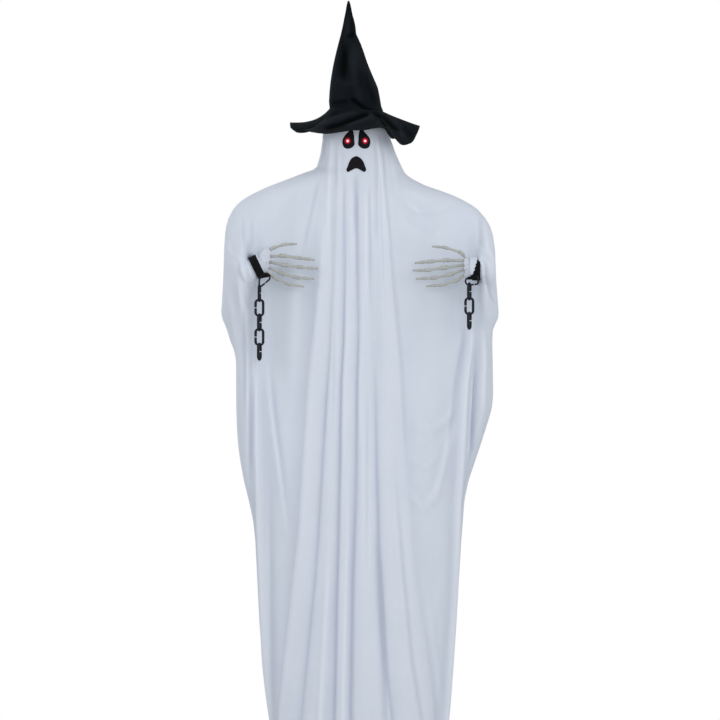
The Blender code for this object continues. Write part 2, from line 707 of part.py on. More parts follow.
def face_y(x, height, radii_extra=0):
    """y of the head's front, or of a larger head round it, at this place."""
    width, depth, tall = (radius + radii_extra for radius in HEAD_RADII)
    inside = 1 - ((x - HEAD_X) / width) ** 2 - ((height - HEAD_HEIGHT) / tall) ** 2
    return -depth * math.sqrt(inside)


def head():
    """Hollow head on its neck plug and tube."""
    bm = bmesh.new()
    bmesh.ops.create_uvsphere(bm, u_segments=20, v_segments=12, radius=1)
    bmesh.ops.scale(bm, vec=HEAD_RADII, verts=bm.verts[:])
    lowest = [v for v in bm.verts if v.co.z < -HEAD_RADII[2] * 0.97]
    bmesh.ops.delete(bm, geom=lowest, context="VERTS")
    shell = place(
        from_bmesh("head_shell", bm, Matrix.Translation((HEAD_X, 0, HEAD_HEIGHT))), looks["head"]
    )
    walls = shell.modifiers.new("Solidify", "SOLIDIFY")
    walls.thickness = HEAD_WALL
    walls.offset = -1
    opening = NECK_PLUG_RADIUS + GAP
    rim = HEAD_HEIGHT - HEAD_RADII[2] * math.sqrt(1 - (opening / HEAD_RADII[1]) ** 2)
    flange_top = rim - GAP
    boolean(shell, cylinder(
        "head_neck_cut", (HEAD_X, 0, HEAD_HEIGHT - HEAD_RADII[2] - OVERRUN), (HEAD_X, 0, rim + NECK_PLUG_LENGTH),
        opening, hidden=True,
    ))
    for side, x, height in eyes():
        face = face_y(x, height)
        boolean(shell, cylinder(
            f"{side}_eye_cut", (x, face - OVERRUN, height), (x, face + HOLDER_LENGTH, height),
            HOLDER_RADIUS + GAP, hidden=True, sides=FINE_TURN_STEPS,
        ))
    plug = cylinder(
        "neck_plug", (HEAD_X, 0, flange_top - NECK_FLANGE_THICKNESS), (HEAD_X, 0, flange_top),
        NECK_PLUG_RADIUS + NECK_FLANGE, looks["plastic"],
    )
    boolean(plug, cylinder(
        "plug_body", (HEAD_X, 0, flange_top - FUSE), (HEAD_X, 0, flange_top + NECK_PLUG_LENGTH),
        NECK_PLUG_RADIUS, hidden=True,
    ), "UNION")
    low = flange_top - NECK_FLANGE_THICKNESS - OVERRUN
    high = flange_top + NECK_PLUG_LENGTH + OVERRUN
    boolean(plug, cylinder("plug_bore", (0, 0, low), (0, 0, high), BAR_RADIUS + GAP, hidden=True))
    boolean(plug, cylinder(
        "plug_wire_hole", (0, WIRE_HOLE_Y, low), (0, WIRE_HOLE_Y, high), WIRE_HOLE_RADIUS, hidden=True,
        sides=FINE_TURN_STEPS,
    ))
    tube(
        "neck_tube", (0, 0, BAR_HEIGHT + BAR_RADIUS + TEE_WEB + GAP), (0, 0, flange_top + NECK_PLUG_LENGTH),
        BAR_RADIUS, BAR_WALL, looks["black_steel"],
    )


def eyes():
    """Side, x and height of each light."""
    height = HEAD_HEIGHT - EYE_DROP
    return [(side, HEAD_X + sign * EYE_SPACING / 2, height) for side, sign in SIGN.items()]


def lights():
    """Each eye's holder, light and pair of wires down to the battery case."""
    for side, x, height in eyes():
        face = face_y(x, height)
        rear = face + HOLDER_LENGTH
        back = Matrix.Translation((x, rear, height)) @ Matrix.Rotation(90 * DEGREE, 4, "X")
        bore = LED_RADIUS + LED_FLANGE + GAP
        flange = HOLDER_RADIUS + HOLDER_FLANGE
        turned(
            f"{side}_led_holder",
            [(HOLDER_RADIUS, HOLDER_LENGTH), (HOLDER_RADIUS, HOLDER_FLANGE_THICKNESS),
             (flange, HOLDER_FLANGE_THICKNESS), (flange, 0), (bore, 0), (bore, HOLDER_LENGTH)],
            back, looks["plastic"], loop=True, steps=FINE_TURN_STEPS,
        )
        proud = LED_PROUD + CLOTH + HEAD_EASE + FELT
        dome = [
            (LED_RADIUS * math.sin(a * DEGREE), HOLDER_LENGTH + proud + LED_RADIUS * (math.cos(a * DEGREE) - 1))
            for a in (0, 30, 60, 90)
        ]
        foot = HOLDER_LENGTH + proud - LED_LENGTH
        rim = LED_RADIUS + LED_FLANGE
        turned(
            f"{side}_led",
            [*dome, (LED_RADIUS, HOLDER_LENGTH / 2), (rim, HOLDER_LENGTH / 2), (rim, foot), (0, foot)],
            back, looks["led"], steps=FINE_TURN_STEPS,
        )
        led_wire(side, x, rear - foot, height)


def led_wire(side, x, start_y, height):
    """The wire pair of one light, as one cord, through the neck plug and down behind the pole."""
    sign = SIGN[side]
    beside = sign * (WIRE_RADIUS + GAP)
    behind = WIRE_HOLE_Y
    case_top = CASE_BOTTOM + case_height()
    plug_top = HEAD_HEIGHT - HEAD_RADII[2] + NECK_PLUG_LENGTH
    route = [
        (x, start_y + GAP, height),
        (x, start_y * 0.7, height),
        (x * 0.7, start_y * 0.35, height - 0.15 * HEAD_RADII[2]),
        (3 * beside, behind, plug_top + 0.4 * HEAD_RADII[2]),
        (beside, behind, plug_top + 0.15 * HEAD_RADII[2]),
        (beside, behind, plug_top - NECK_PLUG_LENGTH * 1.2),
        (beside, behind, BAR_HEIGHT),
        (beside, behind, case_top + SWITCH_BLOCK),
        (beside, behind, case_top + GAP),
    ]
    wire(f"{side}_eye_wire", smooth(route, 3), WIRE_RADIUS, looks["wire"], resolution=0)


def case_height():
    """Outer height of the battery case with its switch block."""
    return 2 * CASE_WALL + CELL_LENGTH + 2 * (CONTACT_THICKNESS + 2 * GAP) + SWITCH_BLOCK


def power():
    """Battery case clipped on the pole, with its door, cells, contacts and switch knob."""
    front = POLE_RADIUS + GAP + CASE_WALL
    back = front + CASE_DEPTH
    half = CASE_WIDTH / 2
    top = CASE_BOTTOM + case_height()
    cell_low = CASE_BOTTOM + CASE_WALL + CONTACT_THICKNESS + 2 * GAP
    cell_high = cell_low + CELL_LENGTH
    bay_top = cell_high + CONTACT_THICKNESS + 2 * GAP
    case = box("battery_case", (-half, front, CASE_BOTTOM), (half, back, top), looks["case"])
    inner = half - CASE_WALL
    boolean(case, box(
        "battery_bay", (-inner, front + CASE_WALL, CASE_BOTTOM + CASE_WALL), (inner, back + OVERRUN, bay_top),
        hidden=True,
    ))
    middle = (CASE_BOTTOM + top) / 2
    boolean(case, cylinder(
        "case_clip", (0, 0, middle - CLIP_HEIGHT / 2), (0, 0, middle + CLIP_HEIGHT / 2),
        POLE_RADIUS + GAP + CLIP_WALL, hidden=True,
    ), "UNION")
    boolean(case, cylinder(
        "case_clip_cut", (0, 0, CASE_BOTTOM), (0, 0, top), POLE_RADIUS + GAP, hidden=True
    ))
    knob_z = (bay_top + top) / 2
    knob_half = KNOB_SIZE / 2
    boolean(case, box(
        "knob_pocket", (-knob_half - GAP, back - KNOB_DEPTH - GAP, knob_z - knob_half - GAP),
        (knob_half + KNOB_TRAVEL + GAP, back + OVERRUN, knob_z + knob_half + GAP), hidden=True,
    ))
    box("switch_knob", (-knob_half, back - KNOB_DEPTH, knob_z - knob_half),
        (knob_half, back + KNOB_PROUD, knob_z + knob_half), looks["knob"])
    cell_y = front + CASE_WALL + GAP + CELL_RADIUS
    for number, sign in enumerate((-1, 1)):
        x = sign * CELL_PITCH / 2
        cylinder(f"battery_{number + 1}", (x, cell_y, cell_low), (x, cell_y, cell_high), CELL_RADIUS,
                 looks["cell"])
    strip = inner - GAP
    for name, low in (("lower_contact", CASE_BOTTOM + CASE_WALL + GAP), ("upper_contact", cell_high + GAP)):
        box(name, (-strip, cell_y - CELL_RADIUS, low), (strip, cell_y + CELL_RADIUS, low + CONTACT_THICKNESS),
            looks["contact"])
    outer = half + GAP + DOOR_WALL
    door_top = knob_z - knob_half - CASE_WALL
    door = box("battery_door", (-outer, back - DOOR_LIP, CASE_BOTTOM), (outer, back + GAP + DOOR_WALL, door_top),
               looks["case"])
    boolean(door, box(
        "door_cut", (-half - GAP, back - DOOR_LIP - OVERRUN, CASE_BOTTOM - OVERRUN),
        (half + GAP, back + GAP, door_top + OVERRUN), hidden=True,
    ))


def ring_point(centre, half, depth, angle):
    """Point of a squarish ring, as x and y; the angle runs from the front to the right."""
    power = 2 / RING_POWER
    across = math.copysign(abs(math.sin(angle)) ** power, math.sin(angle))
    ahead = math.copysign(abs(math.cos(angle)) ** power, math.cos(angle))
    return centre + half * across, -depth * ahead


def column_angles():
    """Angles of the robe's upright lines, once round from the front, with their fold share."""
    quarter = math.pi / 2
    right = [share * quarter for share in FRONT_COLUMN_SHARES]
    behind = [2 * quarter - share * quarter for share in reversed(BACK_COLUMN_SHARES)]
    half = [0, *right, quarter, *behind, 2 * quarter]
    return half + [-angle for angle in reversed(half[1:-1])]


def bulge(side, x, height):
    """How far a wrist pushes the cloth forwards here, as a share."""
    outwards = (x - BULGE_X[side]) * SIGN[side]
    spread = BULGE_OUTER if outwards > 0 else BULGE_INNER
    rise = (height - wrist(side).z) / BULGE_HEIGHT
    return math.exp(-((outwards / spread) ** 2) - rise**2)


def crown_rings(extra):
    """Centre, half width, front, back and height of the rings over the head, grown by extra."""
    width, depth, tall = (radius + extra for radius in HEAD_RADII)
    rings = []
    for degrees in CROWN_ANGLES:
        wide = math.sin(degrees * DEGREE)
        high = HEAD_HEIGHT + tall * math.cos(degrees * DEGREE)
        rings.append((HEAD_X, width * wide, depth * wide, depth * wide, high))
    return rings


def ring_height(share):
    """Height of a ring: set off from the crown down to the skirt, and shared out below."""
    if share >= SKIRT_SHARE:
        return ROBE_TOP - (1 - share) * UPPER_SPAN
    skirt_top = ROBE_TOP - (1 - SKIRT_SHARE) * UPPER_SPAN
    return HEM_HEIGHT + (skirt_top - HEM_HEIGHT) * share / SKIRT_SHARE


def robe_rings():
    """All the robe's rings, from the crown to the hem."""
    rings = crown_rings(HEAD_EASE + CLOTH)
    for height, left, right, front, back in ROBE_SHARES:
        centre = ROBE_HALF_WIDTH * (right - left) / 2
        half = ROBE_HALF_WIDTH * (right + left) / 2
        rings.append(
            (centre, half, ROBE_DEPTH * front, ROBE_DEPTH * back, ring_height(height))
        )
    return rings


def robe_point(ring, column, angle):
    """Point of the robe's outer side, with its pleats and the bulges at the wrists."""
    centre, half, front, back, height = ring
    ahead = math.cos(angle) >= 0
    x, y = ring_point(centre, half, front if ahead else back, angle)
    share = (height - HEM_HEIGHT) / ROBE_HEIGHT
    growth = max(0, 1 - share / PLEAT_START_SHARE)
    pleat = PLEAT_DEPTH * math.sqrt(growth) * (-1) ** column * abs(math.cos(angle)) ** 0.5
    y += pleat if ahead else -pleat
    if ahead and half > HEAD_RADII[0] * 2:
        weight = min(1, 4 * math.cos(angle))
        y -= weight * ARM_BULGE * sum(bulge(side, x, height) for side in SIGN)
    return Vector((x, y, height))


def robe_sheet(name, outwards=False, thickness=CLOTH):
    """The robe's closed crown and open hem as one walled sheet, not yet linked."""
    bm = bmesh.new()
    angles = column_angles()
    crown = bm.verts.new((HEAD_X, 0, ROBE_TOP))
    rows = [
        [bm.verts.new(robe_point(ring, column, angle)) for column, angle in enumerate(angles)]
        for ring in robe_rings()
    ]
    count = len(angles)
    for i in range(count):
        j = (i + 1) % count
        bm.faces.new((crown, rows[0][i], rows[0][j]))
        for upper, lower in zip(rows, rows[1:]):
            bm.faces.new((upper[i], lower[i], lower[j], upper[j]))
    sheet = from_bmesh(name, bm)
    wall = sheet.modifiers.new("Solidify", "SOLIDIFY")
    wall.thickness = thickness
    wall.offset = 1 if outwards else -1
    return sheet


def robe():
    """Front and back panels, which meet at the side seams."""
    reach = ROBE_HALF_WIDTH + OVERRUN
    deep = ROBE_DEPTH + ARM_BULGE
    for name, ahead in (("robe_front", True), ("robe_back", False)):
        panel = place(robe_sheet(name), looks["robe"])
        near = (-GAP / 2, deep) if ahead else (-deep, GAP / 2)
        boolean(panel, box(
            f"{name}_seam_cut", (-reach, near[0], -OVERRUN), (reach, near[1], ROBE_TOP + OVERRUN), hidden=True
        ))
        if ahead:
            for side, x, height in eyes():
                boolean(panel, eye_hole(f"{side}_robe_hole", x, height))
                boolean(panel, sleeve_cut(side))


def eye_hole(name, x, height):
    """Cutter for a light's way through cloth and felt."""
    face = face_y(x, height)
    return cylinder(
        name, (x, face - HOLDER_LENGTH - LED_LENGTH, height), (x, face + HOLDER_LENGTH, height),
        LED_RADIUS + 2 * GAP, hidden=True, sides=FINE_TURN_STEPS,
    )


def face_patch(name, outline, x, height):
    """Felt patch that follows the robe's front; its outline stands in the XZ plane."""
    turn = Matrix.Translation((x, -HEAD_RADII[1], height)) @ Matrix.Rotation(90 * DEGREE, 4, "X")
    patch = as_mesh(plate(name, outline, HEAD_RADII[1], turn), look=looks["felt"])
    layer = place(robe_sheet(f"{name}_layer", True, FELT), hidden=True)
    layer.location.y = -GAP - GAP / 2
    return boolean(patch, layer, "INTERSECT")


def face():
    """Eyes round the lights, and a drooping mouth."""
    for side, x, height in eyes():
        inwards = -SIGN[side]
        outline = [(inwards * EYE_WIDTH * a, EYE_HEIGHT * b) for a, b in EYE_SHARES]
        patch = face_patch(f"{side}_eye_patch", outline, x, height)
        boolean(patch, eye_hole(f"{side}_patch_hole", x, height))
    outline = [(MOUTH_WIDTH * a, MOUTH_HEIGHT * b) for a, b in MOUTH_SHARES]
    face_patch("mouth_patch", outline, HEAD_X, HEAD_HEIGHT - MOUTH_DROP)


def hat_seat():
    """Half width, half depth and height of the ring where the hat rests on the robe."""
    grow = HEAD_EASE + CLOTH
    wide = math.sin(SEAT_ANGLE * DEGREE)
    height = HEAD_HEIGHT + (HEAD_RADII[2] + grow) * math.cos(SEAT_ANGLE * DEGREE)
    edge = HAT_EASE + HAT_CLOTH
    return (HEAD_RADII[0] + grow) * wide + edge, (HEAD_RADII[1] + grow) * wide + edge, height


def hat_cone():
    """Bent cone of the hat with its soft folds."""
    half, depth, seat = hat_seat()
    bm = bmesh.new()
    rows = []
    for number, (height, centre, width) in enumerate(CONE_SHARES):
        row = []
        for i in range(CONE_SIDES):
            angle = 2 * math.pi * i / CONE_SIDES
            fold = CONE_FOLD * math.sin(3 * angle + 1.3 * number) * min(1, number / 2) * width
            x, y = ring_point(0, half * width + fold, depth * width + fold, angle)
            shift = HEAD_X + half * (centre - CONE_SHARES[0][1])
            row.append(bm.verts.new((x + shift, y, seat + HAT_HEIGHT * height)))
        rows.append(row)
    shift = HEAD_X + half * (CONE_TIP_SHARE - CONE_SHARES[0][1])
    tip = bm.verts.new((shift, 0, seat + HAT_HEIGHT))
    for i in range(CONE_SIDES):
        j = (i + 1) % CONE_SIDES
        bm.faces.new((tip, rows[-1][i], rows[-1][j]))
        for lower, upper in zip(rows, rows[1:]):
            bm.faces.new((upper[i], lower[i], lower[j], upper[j]))
    cone = place(from_bmesh("hat_cone", bm), looks["hat"])
    wall = cone.modifiers.new("Solidify", "SOLIDIFY")
    wall.thickness = HAT_CLOTH
    wall.offset = -1


def brim_point(angle, share):
    """Point of the brim's underside: waves at the edge and one lobe that hangs low."""
    half, depth, seat = hat_seat()
    x, y = ring_point(0, half + GAP + BRIM_REACH * share, depth + GAP + BRIM_REACH * share, angle)
    place_angle = math.atan2(y, x)
    lobe = math.exp(-(((place_angle - BRIM_LOBE_ANGLE) / BRIM_LOBE_SPREAD) ** 2))
    wave = BRIM_WAVE * math.sin(3 * place_angle + 0.8) * share**2
    drop = BRIM_DROOP * share**1.2 + BRIM_LOBE * lobe * share**2
    return Vector((x + HEAD_X, y, seat - drop + wave))


def hat_brim():
    """Wavy brim sewn round the cone."""
    bm = bmesh.new()
    rows = [
        [bm.verts.new(brim_point(2 * math.pi * i / BRIM_SIDES, share)) for i in range(BRIM_SIDES)]
        for share in BRIM_RING_SHARES
    ]
    for i in range(BRIM_SIDES):
        j = (i + 1) % BRIM_SIDES
        for inner, outer in zip(rows, rows[1:]):
            bm.faces.new((inner[i], outer[i], outer[j], inner[j]))
    brim = place(from_bmesh("hat_brim", bm), looks["hat"])
    wall = brim.modifiers.new("Solidify", "SOLIDIFY")
    wall.thickness = HAT_CLOTH
    wall.offset = 1


for old in list(bpy.data.objects):
    bpy.data.objects.remove(old)

parts = collection("ghost_figure")
cutters = collection("cutters", hidden=True)
figure = bpy.data.objects.new("ghost_figure_origin", None)
parts.objects.link(figure)

looks = {
    "plastic": material("stand_plastic", (0.03, 0.03, 0.032), 0.5),
    "black_steel": material("black_steel", (0.04, 0.04, 0.045), 0.35, 0.6),
    "rubber": material("foot_rubber", (0.02, 0.02, 0.02), 0.8),
    "foam": material("pad_foam", (0.75, 0.76, 0.78), 0.9),
    "bone": material("bone_plastic", (0.46, 0.49, 0.48), 0.55),
    "robe": material("robe_cloth", (0.68, 0.72, 0.82), 0.85),
    "strap": material("strap_webbing", (0.011, 0.011, 0.012), 0.9),
    "chain": material("chain_plastic", (0.014, 0.016, 0.022), 0.4),
    "head": material("head_plastic", (0.8, 0.8, 0.8), 0.5),
    "led": material("led_red", (0.9, 0.05, 0.06), 0.15),
    "wire": material("eye_wire", (0.5, 0.02, 0.02), 0.5),
    "case": material("case_plastic", (0.02, 0.02, 0.022), 0.45),
    "knob": material("switch_knob", (0.6, 0.6, 0.6), 0.5),
    "cell": material("battery_jacket", (0.12, 0.13, 0.14), 0.4),
    "contact": material("contact_plate", (0.7, 0.68, 0.62), 0.25, 1.0),
    "felt": material("face_felt", (0.009, 0.009, 0.011), 0.95),
    "hat": material("hat_cloth", (0.008, 0.010, 0.012), 0.9),
}

stand()
shoulders()
for side_name, side_sign in SIGN.items():
    arm(side_name, side_sign)
    hand(side_name)
    sleeve(side_name)
    strap(side_name)
    chain(side_name)
head()
lights()
power()
robe()
face()
hat_cone()
hat_brim()
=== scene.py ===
import math
import bmesh
import bpy
import numpy as np
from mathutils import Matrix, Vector
from mathutils.bvhtree import BVHTree


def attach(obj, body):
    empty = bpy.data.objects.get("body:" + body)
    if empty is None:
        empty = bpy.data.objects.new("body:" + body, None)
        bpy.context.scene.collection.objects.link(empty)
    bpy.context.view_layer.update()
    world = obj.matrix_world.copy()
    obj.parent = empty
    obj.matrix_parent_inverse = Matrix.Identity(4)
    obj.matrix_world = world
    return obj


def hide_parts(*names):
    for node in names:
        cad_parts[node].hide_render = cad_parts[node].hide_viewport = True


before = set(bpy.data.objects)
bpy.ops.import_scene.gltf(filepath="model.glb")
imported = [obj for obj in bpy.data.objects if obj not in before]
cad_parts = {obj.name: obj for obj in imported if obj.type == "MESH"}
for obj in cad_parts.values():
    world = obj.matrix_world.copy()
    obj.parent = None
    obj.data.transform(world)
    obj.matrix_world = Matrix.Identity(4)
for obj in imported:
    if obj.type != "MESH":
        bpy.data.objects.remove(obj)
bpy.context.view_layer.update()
scene = bpy.context.scene
bpy.ops.object.select_all(action="DESELECT")
mm = 0.001
bothSides = ("left", "right")

# Camera, lamps and floor. Places in the photograph are read on a grid of 720 units. One unit is
# this many metres on the figure, and the floor and the figure's middle lie on these lines of it.
viewSettings = {
    "unit": 0.00236, "grid": 720, "floorLine": 776, "middleLine": 358.5,
    "distance": 24.0, "sideways": 0.00354, "height": 0.98176, "sensor": 36, "farthest": 120,
}
gridMiddle = viewSettings["grid"] / 2
lampAim = (0, 0, 0.95)
lampSettings = {
    "keyLamp": {"place": (-2.1, -2.7, 2.7), "size": 1.6, "power": 21},
    "fillLamp": {"place": (2.3, -2.6, 2.2), "size": 2.0, "power": 15},
    "frontLamp": {"place": (0.35, -3.4, 1.5), "size": 1.2, "power": 20},
    "topLamp": {"place": (0.1, -1.2, 4.0), "size": 2.0, "power": 5},
    "leftLamp": {"place": (-3.4, -0.3, 1.7), "size": 2.0, "power": 9},
    "rightLamp": {"place": (3.4, -0.3, 1.7), "size": 2.0, "power": 13},
    "backLamp": {"place": (-1.6, 3.4, 2.6), "size": 2.0, "power": 26},
}
airSettings = {"colour": (0.95, 0.97, 1.0, 1), "strength": 0.61}
floorSettings = {
    "radius": 1.36, "sides": 128, "fadeFrom": 0.6, "fadeTo": 1.25,
    "colour": (0.74, 0.74, 0.75, 1), "roughness": 0.9, "specular": 0.1,
}
plainWhite = {"Color": (1, 1, 1, 1), "Strength": 1.0}


def gridUnit(y):
    # Size of one grid unit at this depth
    return viewSettings["unit"] * (viewSettings["distance"] + y) / viewSettings["distance"]


def gridPlace(x, y, z):
    # Where the camera sees a point, on the grid
    size = gridUnit(y)
    across = gridMiddle + (x - viewSettings["sideways"]) / size
    return across, gridMiddle - (z - viewSettings["height"]) / size


def worldPlace(px, py, y):
    # The point at this depth that the camera sees here on the grid
    size = gridUnit(y)
    across = viewSettings["sideways"] + (px - gridMiddle) * size
    return across, y, viewSettings["height"] - (py - gridMiddle) * size


def gridRow(z):
    # Line of the grid at this height on the figure
    return viewSettings["floorLine"] - z / viewSettings["unit"]


def setInputs(tree, node, inputs):
    for key, value in inputs.items():
        if isinstance(value, bpy.types.NodeSocket):
            tree.links.new(value, node.inputs[key])
        else:
            node.inputs[key].default_value = value


def addNode(tree, kind, inputs=None, **settings):
    node = tree.nodes.new(kind)
    for key, value in settings.items():
        setattr(node, key, value)
    setInputs(tree, node, inputs or {})
    return node


def mathOf(tree, way, first, second):
    return addNode(tree, "ShaderNodeMath", {0: first, 1: second}, operation=way).outputs[0]


def spreadOf(tree, value, low, high, newLow=0.0, newHigh=1.0):
    # Map Range, clamped
    found = addNode(tree, "ShaderNodeMapRange", {
        "Value": value, "From Min": low, "From Max": high, "To Min": newLow, "To Max": newHigh})
    return found.outputs["Result"]


def noiseOf(tree, place, scale, detail, roughness=0.5):
    return addNode(tree, "ShaderNodeTexNoise", {
        "Vector": place, "Scale": scale, "Detail": detail, "Roughness": roughness}).outputs["Fac"]


def mixedColour(tree, factor, first, second):
    node = addNode(tree, "ShaderNodeMix", {0: factor, 6: first, 7: second}, data_type="RGBA")
    return node.outputs[2]


def opaque(colour):
    return (*colour, 1.0)


def makeCamera():
    data = bpy.data.cameras.new("photoCamera")
    data.sensor_width = viewSettings["sensor"]
    seenWidth = viewSettings["grid"] * viewSettings["unit"]
    data.lens = viewSettings["sensor"] * viewSettings["distance"] / seenWidth
    data.clip_end = viewSettings["farthest"]
    camera = bpy.data.objects.new("photoCamera", data)
    scene.collection.objects.link(camera)
    camera.location = (viewSettings["sideways"], -viewSettings["distance"], viewSettings["height"])
    camera.rotation_euler = (math.radians(90), 0, 0)
    scene.camera = camera


def makeLamps():
    for name, lamp in lampSettings.items():
        data = bpy.data.lights.new(name, "AREA")
        data.size = lamp["size"]
        data.energy = lamp["power"]
        obj = bpy.data.objects.new(name, data)
        scene.collection.objects.link(obj)
        obj.location = lamp["place"]
        aim = Vector(lampAim) - obj.location
        obj.rotation_euler = aim.to_track_quat("-Z", "Y").to_euler()


def makeAir():
    # Soft light from all round; the camera and reflections see plain white
    world = bpy.data.worlds.new("studioAir")
    world.use_nodes = True
    tree = world.node_tree
    tree.nodes.clear()
    path = addNode(tree, "ShaderNodeLightPath").outputs
    seen = mathOf(tree, "MAXIMUM", path["Is Camera Ray"], path["Is Glossy Ray"])
    seen = mathOf(tree, "MAXIMUM", seen, path["Is Transmission Ray"])
    air = addNode(tree, "ShaderNodeBackground", {
        "Color": airSettings["colour"], "Strength": airSettings["strength"]})
    white = addNode(tree, "ShaderNodeBackground", plainWhite)
    both = addNode(tree, "ShaderNodeMixShader", {0: seen, 1: air.outputs[0], 2: white.outputs[0]})
    addNode(tree, "ShaderNodeOutputWorld", {"Surface": both.outputs[0]})
    scene.world = world
    scene.view_settings.view_transform = "Standard"


def makeFloor():
    bm = bmesh.new()
    bmesh.ops.create_circle(bm, cap_ends=True, segments=floorSettings["sides"],
                            radius=floorSettings["radius"])
    mesh = bpy.data.meshes.new("studioFloor")
    bm.to_mesh(mesh)
    bm.free()
    floor = bpy.data.objects.new("studioFloor", mesh)
    scene.collection.objects.link(floor)
    look = bpy.data.materials.new("floorPaper")
    look.use_nodes = True
    tree = look.node_tree
    tree.nodes.clear()
    place = addNode(tree, "ShaderNodeTexCoord").outputs["Object"]
    reach = addNode(tree, "ShaderNodeVectorMath", {0: place}, operation="LENGTH").outputs["Value"]
    fade = spreadOf(tree, reach, floorSettings["fadeFrom"], floorSettings["fadeTo"])
    path = addNode(tree, "ShaderNodeLightPath").outputs
    part = mathOf(tree, "MULTIPLY", fade, path["Is Camera Ray"])
    paper = addNode(tree, "ShaderNodeBsdfPrincipled", {
        "Base Color": floorSettings["colour"], "Roughness": floorSettings["roughness"],
        "Specular IOR Level": floorSettings["specular"]})
    white = addNode(tree, "ShaderNodeEmission", plainWhite)
    both = addNode(tree, "ShaderNodeMixShader", {
        0: part, 1: paper.outputs[0], 2: white.outputs[0]})
    addNode(tree, "ShaderNodeOutputMaterial", {"Surface": both.outputs[0]})
    mesh.materials.append(look)


makeCamera()
makeLamps()
makeAir()
makeFloor()
print("camera, lamps and floor stand")

# Finishes. Cloth: its two tones, threads across and along, and its painted shade for fold valleys
# and painted highlight for fold ridges
clothFinishes = {
    "robeCloth": {
        "colour": (0.642, 0.688, 0.762), "shade": (0.602, 0.652, 0.727), "threads": (330, 260),
        "roughness": 0.85, "sheen": 0.08, "bump": 0.12, "depth": 0.0004, "slub": 9.0,
        "specular": 0.12, "valley": (0.50, 0.54, 0.635), "ridge": (0.70, 0.74, 0.81)},
    "ruffleCloth": {
        "colour": (0.67, 0.71, 0.78), "shade": (0.54, 0.58, 0.65), "threads": (240, 240),
        "roughness": 0.85, "sheen": 0.08, "bump": 0.5, "depth": 0.0008, "slub": 190.0,
        "specular": 0.12},
    "hatCloth": {
        "colour": (0.0072, 0.0096, 0.0122), "shade": (0.0046, 0.0064, 0.0084),
        "threads": (420, 420), "roughness": 0.95, "sheen": 0.012, "bump": 0.4, "depth": 0.0004,
        "slub": 30.0, "specular": 0.03, "valley": (0.0012, 0.0017, 0.0021),
        "ridge": (0.0115, 0.0145, 0.018)},
    "strapWebbing": {
        "colour": (0.0095, 0.0095, 0.0105), "shade": (0.0055, 0.0055, 0.0065),
        "threads": (300, 150), "roughness": 0.95, "sheen": 0.015, "bump": 0.8, "depth": 0.0006,
        "slub": 60.0, "specular": 0.05},
}
# moulded, painted or metal pieces: colour, colour where it is worn, and what differs from plain
mouldedFinishes = {
    "bonePlastic": ((0.345, 0.355, 0.335), (0.43, 0.44, 0.405), {
        "grain": 500.0, "drift": 60.0, "roughness": 0.55, "bump": 0.3, "specular": 0.3}),
    "chainPlastic": ((0.0075, 0.0085, 0.0125), (0.015, 0.017, 0.022), {
        "roughness": 0.55, "specular": 0.14}),
    "standPlastic": ((0.028, 0.028, 0.030), (0.06, 0.06, 0.06), {"roughness": 0.5}),
    "blackSteel": ((0.035, 0.036, 0.040), (0.10, 0.10, 0.10), {
        "grain": 1500.0, "drift": 18.0, "roughness": 0.32, "bump": 0.05}),
    "footRubber": ((0.02, 0.02, 0.02), (0.06, 0.058, 0.055), {"roughness": 0.8, "bump": 0.4}),
    "padFoam": ((0.70, 0.71, 0.73), (0.62, 0.62, 0.62), {
        "grain": 420.0, "roughness": 0.9, "bump": 0.9}),
    "headPlastic": ((0.72, 0.72, 0.70), (0.62, 0.61, 0.58), {"roughness": 0.45}),
    "wireJacket": ((0.42, 0.018, 0.02), (0.25, 0.015, 0.018), {"roughness": 0.4}),
    "casePlastic": ((0.018, 0.018, 0.02), (0.05, 0.05, 0.05), {
        "grain": 700.0, "roughness": 0.42, "bump": 0.35}),
    "knobPlastic": ((0.5, 0.5, 0.5), (0.35, 0.35, 0.34), {"roughness": 0.4}),
    "cellJacket": ((0.10, 0.11, 0.12), (0.2, 0.2, 0.2), {"roughness": 0.3, "bump": 0.05}),
    "contactPlate": ((0.62, 0.60, 0.55), (0.4, 0.38, 0.34), {
        "grain": 300.0, "roughness": 0.25, "metallic": 1.0}),
}
lightSettings = {
    # centre of each light: across, and above the floor
    "places": {"left": (-0.0255, 1.497), "right": (0.0155, 1.497)},
    "lens": (0.7, 0.02, 0.03, 1), "core": (1.0, 0.72, 0.68, 1), "rim": (0.9, 0.01, 0.03, 1),
    "strength": 1.6, "roughness": 0.12, "facing": 0.35, "coreSpan": (0.05, 0.55),
    # painted red glow on the felt, where the lens's light would spill: its colour, and the radii
    # where it starts to fade and is gone
    "paintedSpill": (0.75, 0.01, 0.05, 1), "spillFrom": 0.0035, "spillTo": 0.0095,
}
feltFinish = {
    "dark": (0.006, 0.006, 0.007, 1), "pale": (0.013, 0.012, 0.015, 1),
    "fibre": (1400.0, 6.0, 0.8), "bump": 0.5, "depth": 0.0004, "roughness": 0.95, "specular": 0.1,
}
# how far the drift of tone changes a finish: the span that it is read over, how much paler it
# gets, and the roughness either side of plain
clothTone = {"span": (0.3, 0.7), "roughSpan": (0.2, 0.8), "rough": 0.06, "sheenRough": 0.5}
mouldedTone = {
    "span": (0.3, 0.7), "paler": 1.25, "roughSpan": (0.25, 0.75), "rough": (-0.08, 0.1),
    "depth": 0.0003,
}


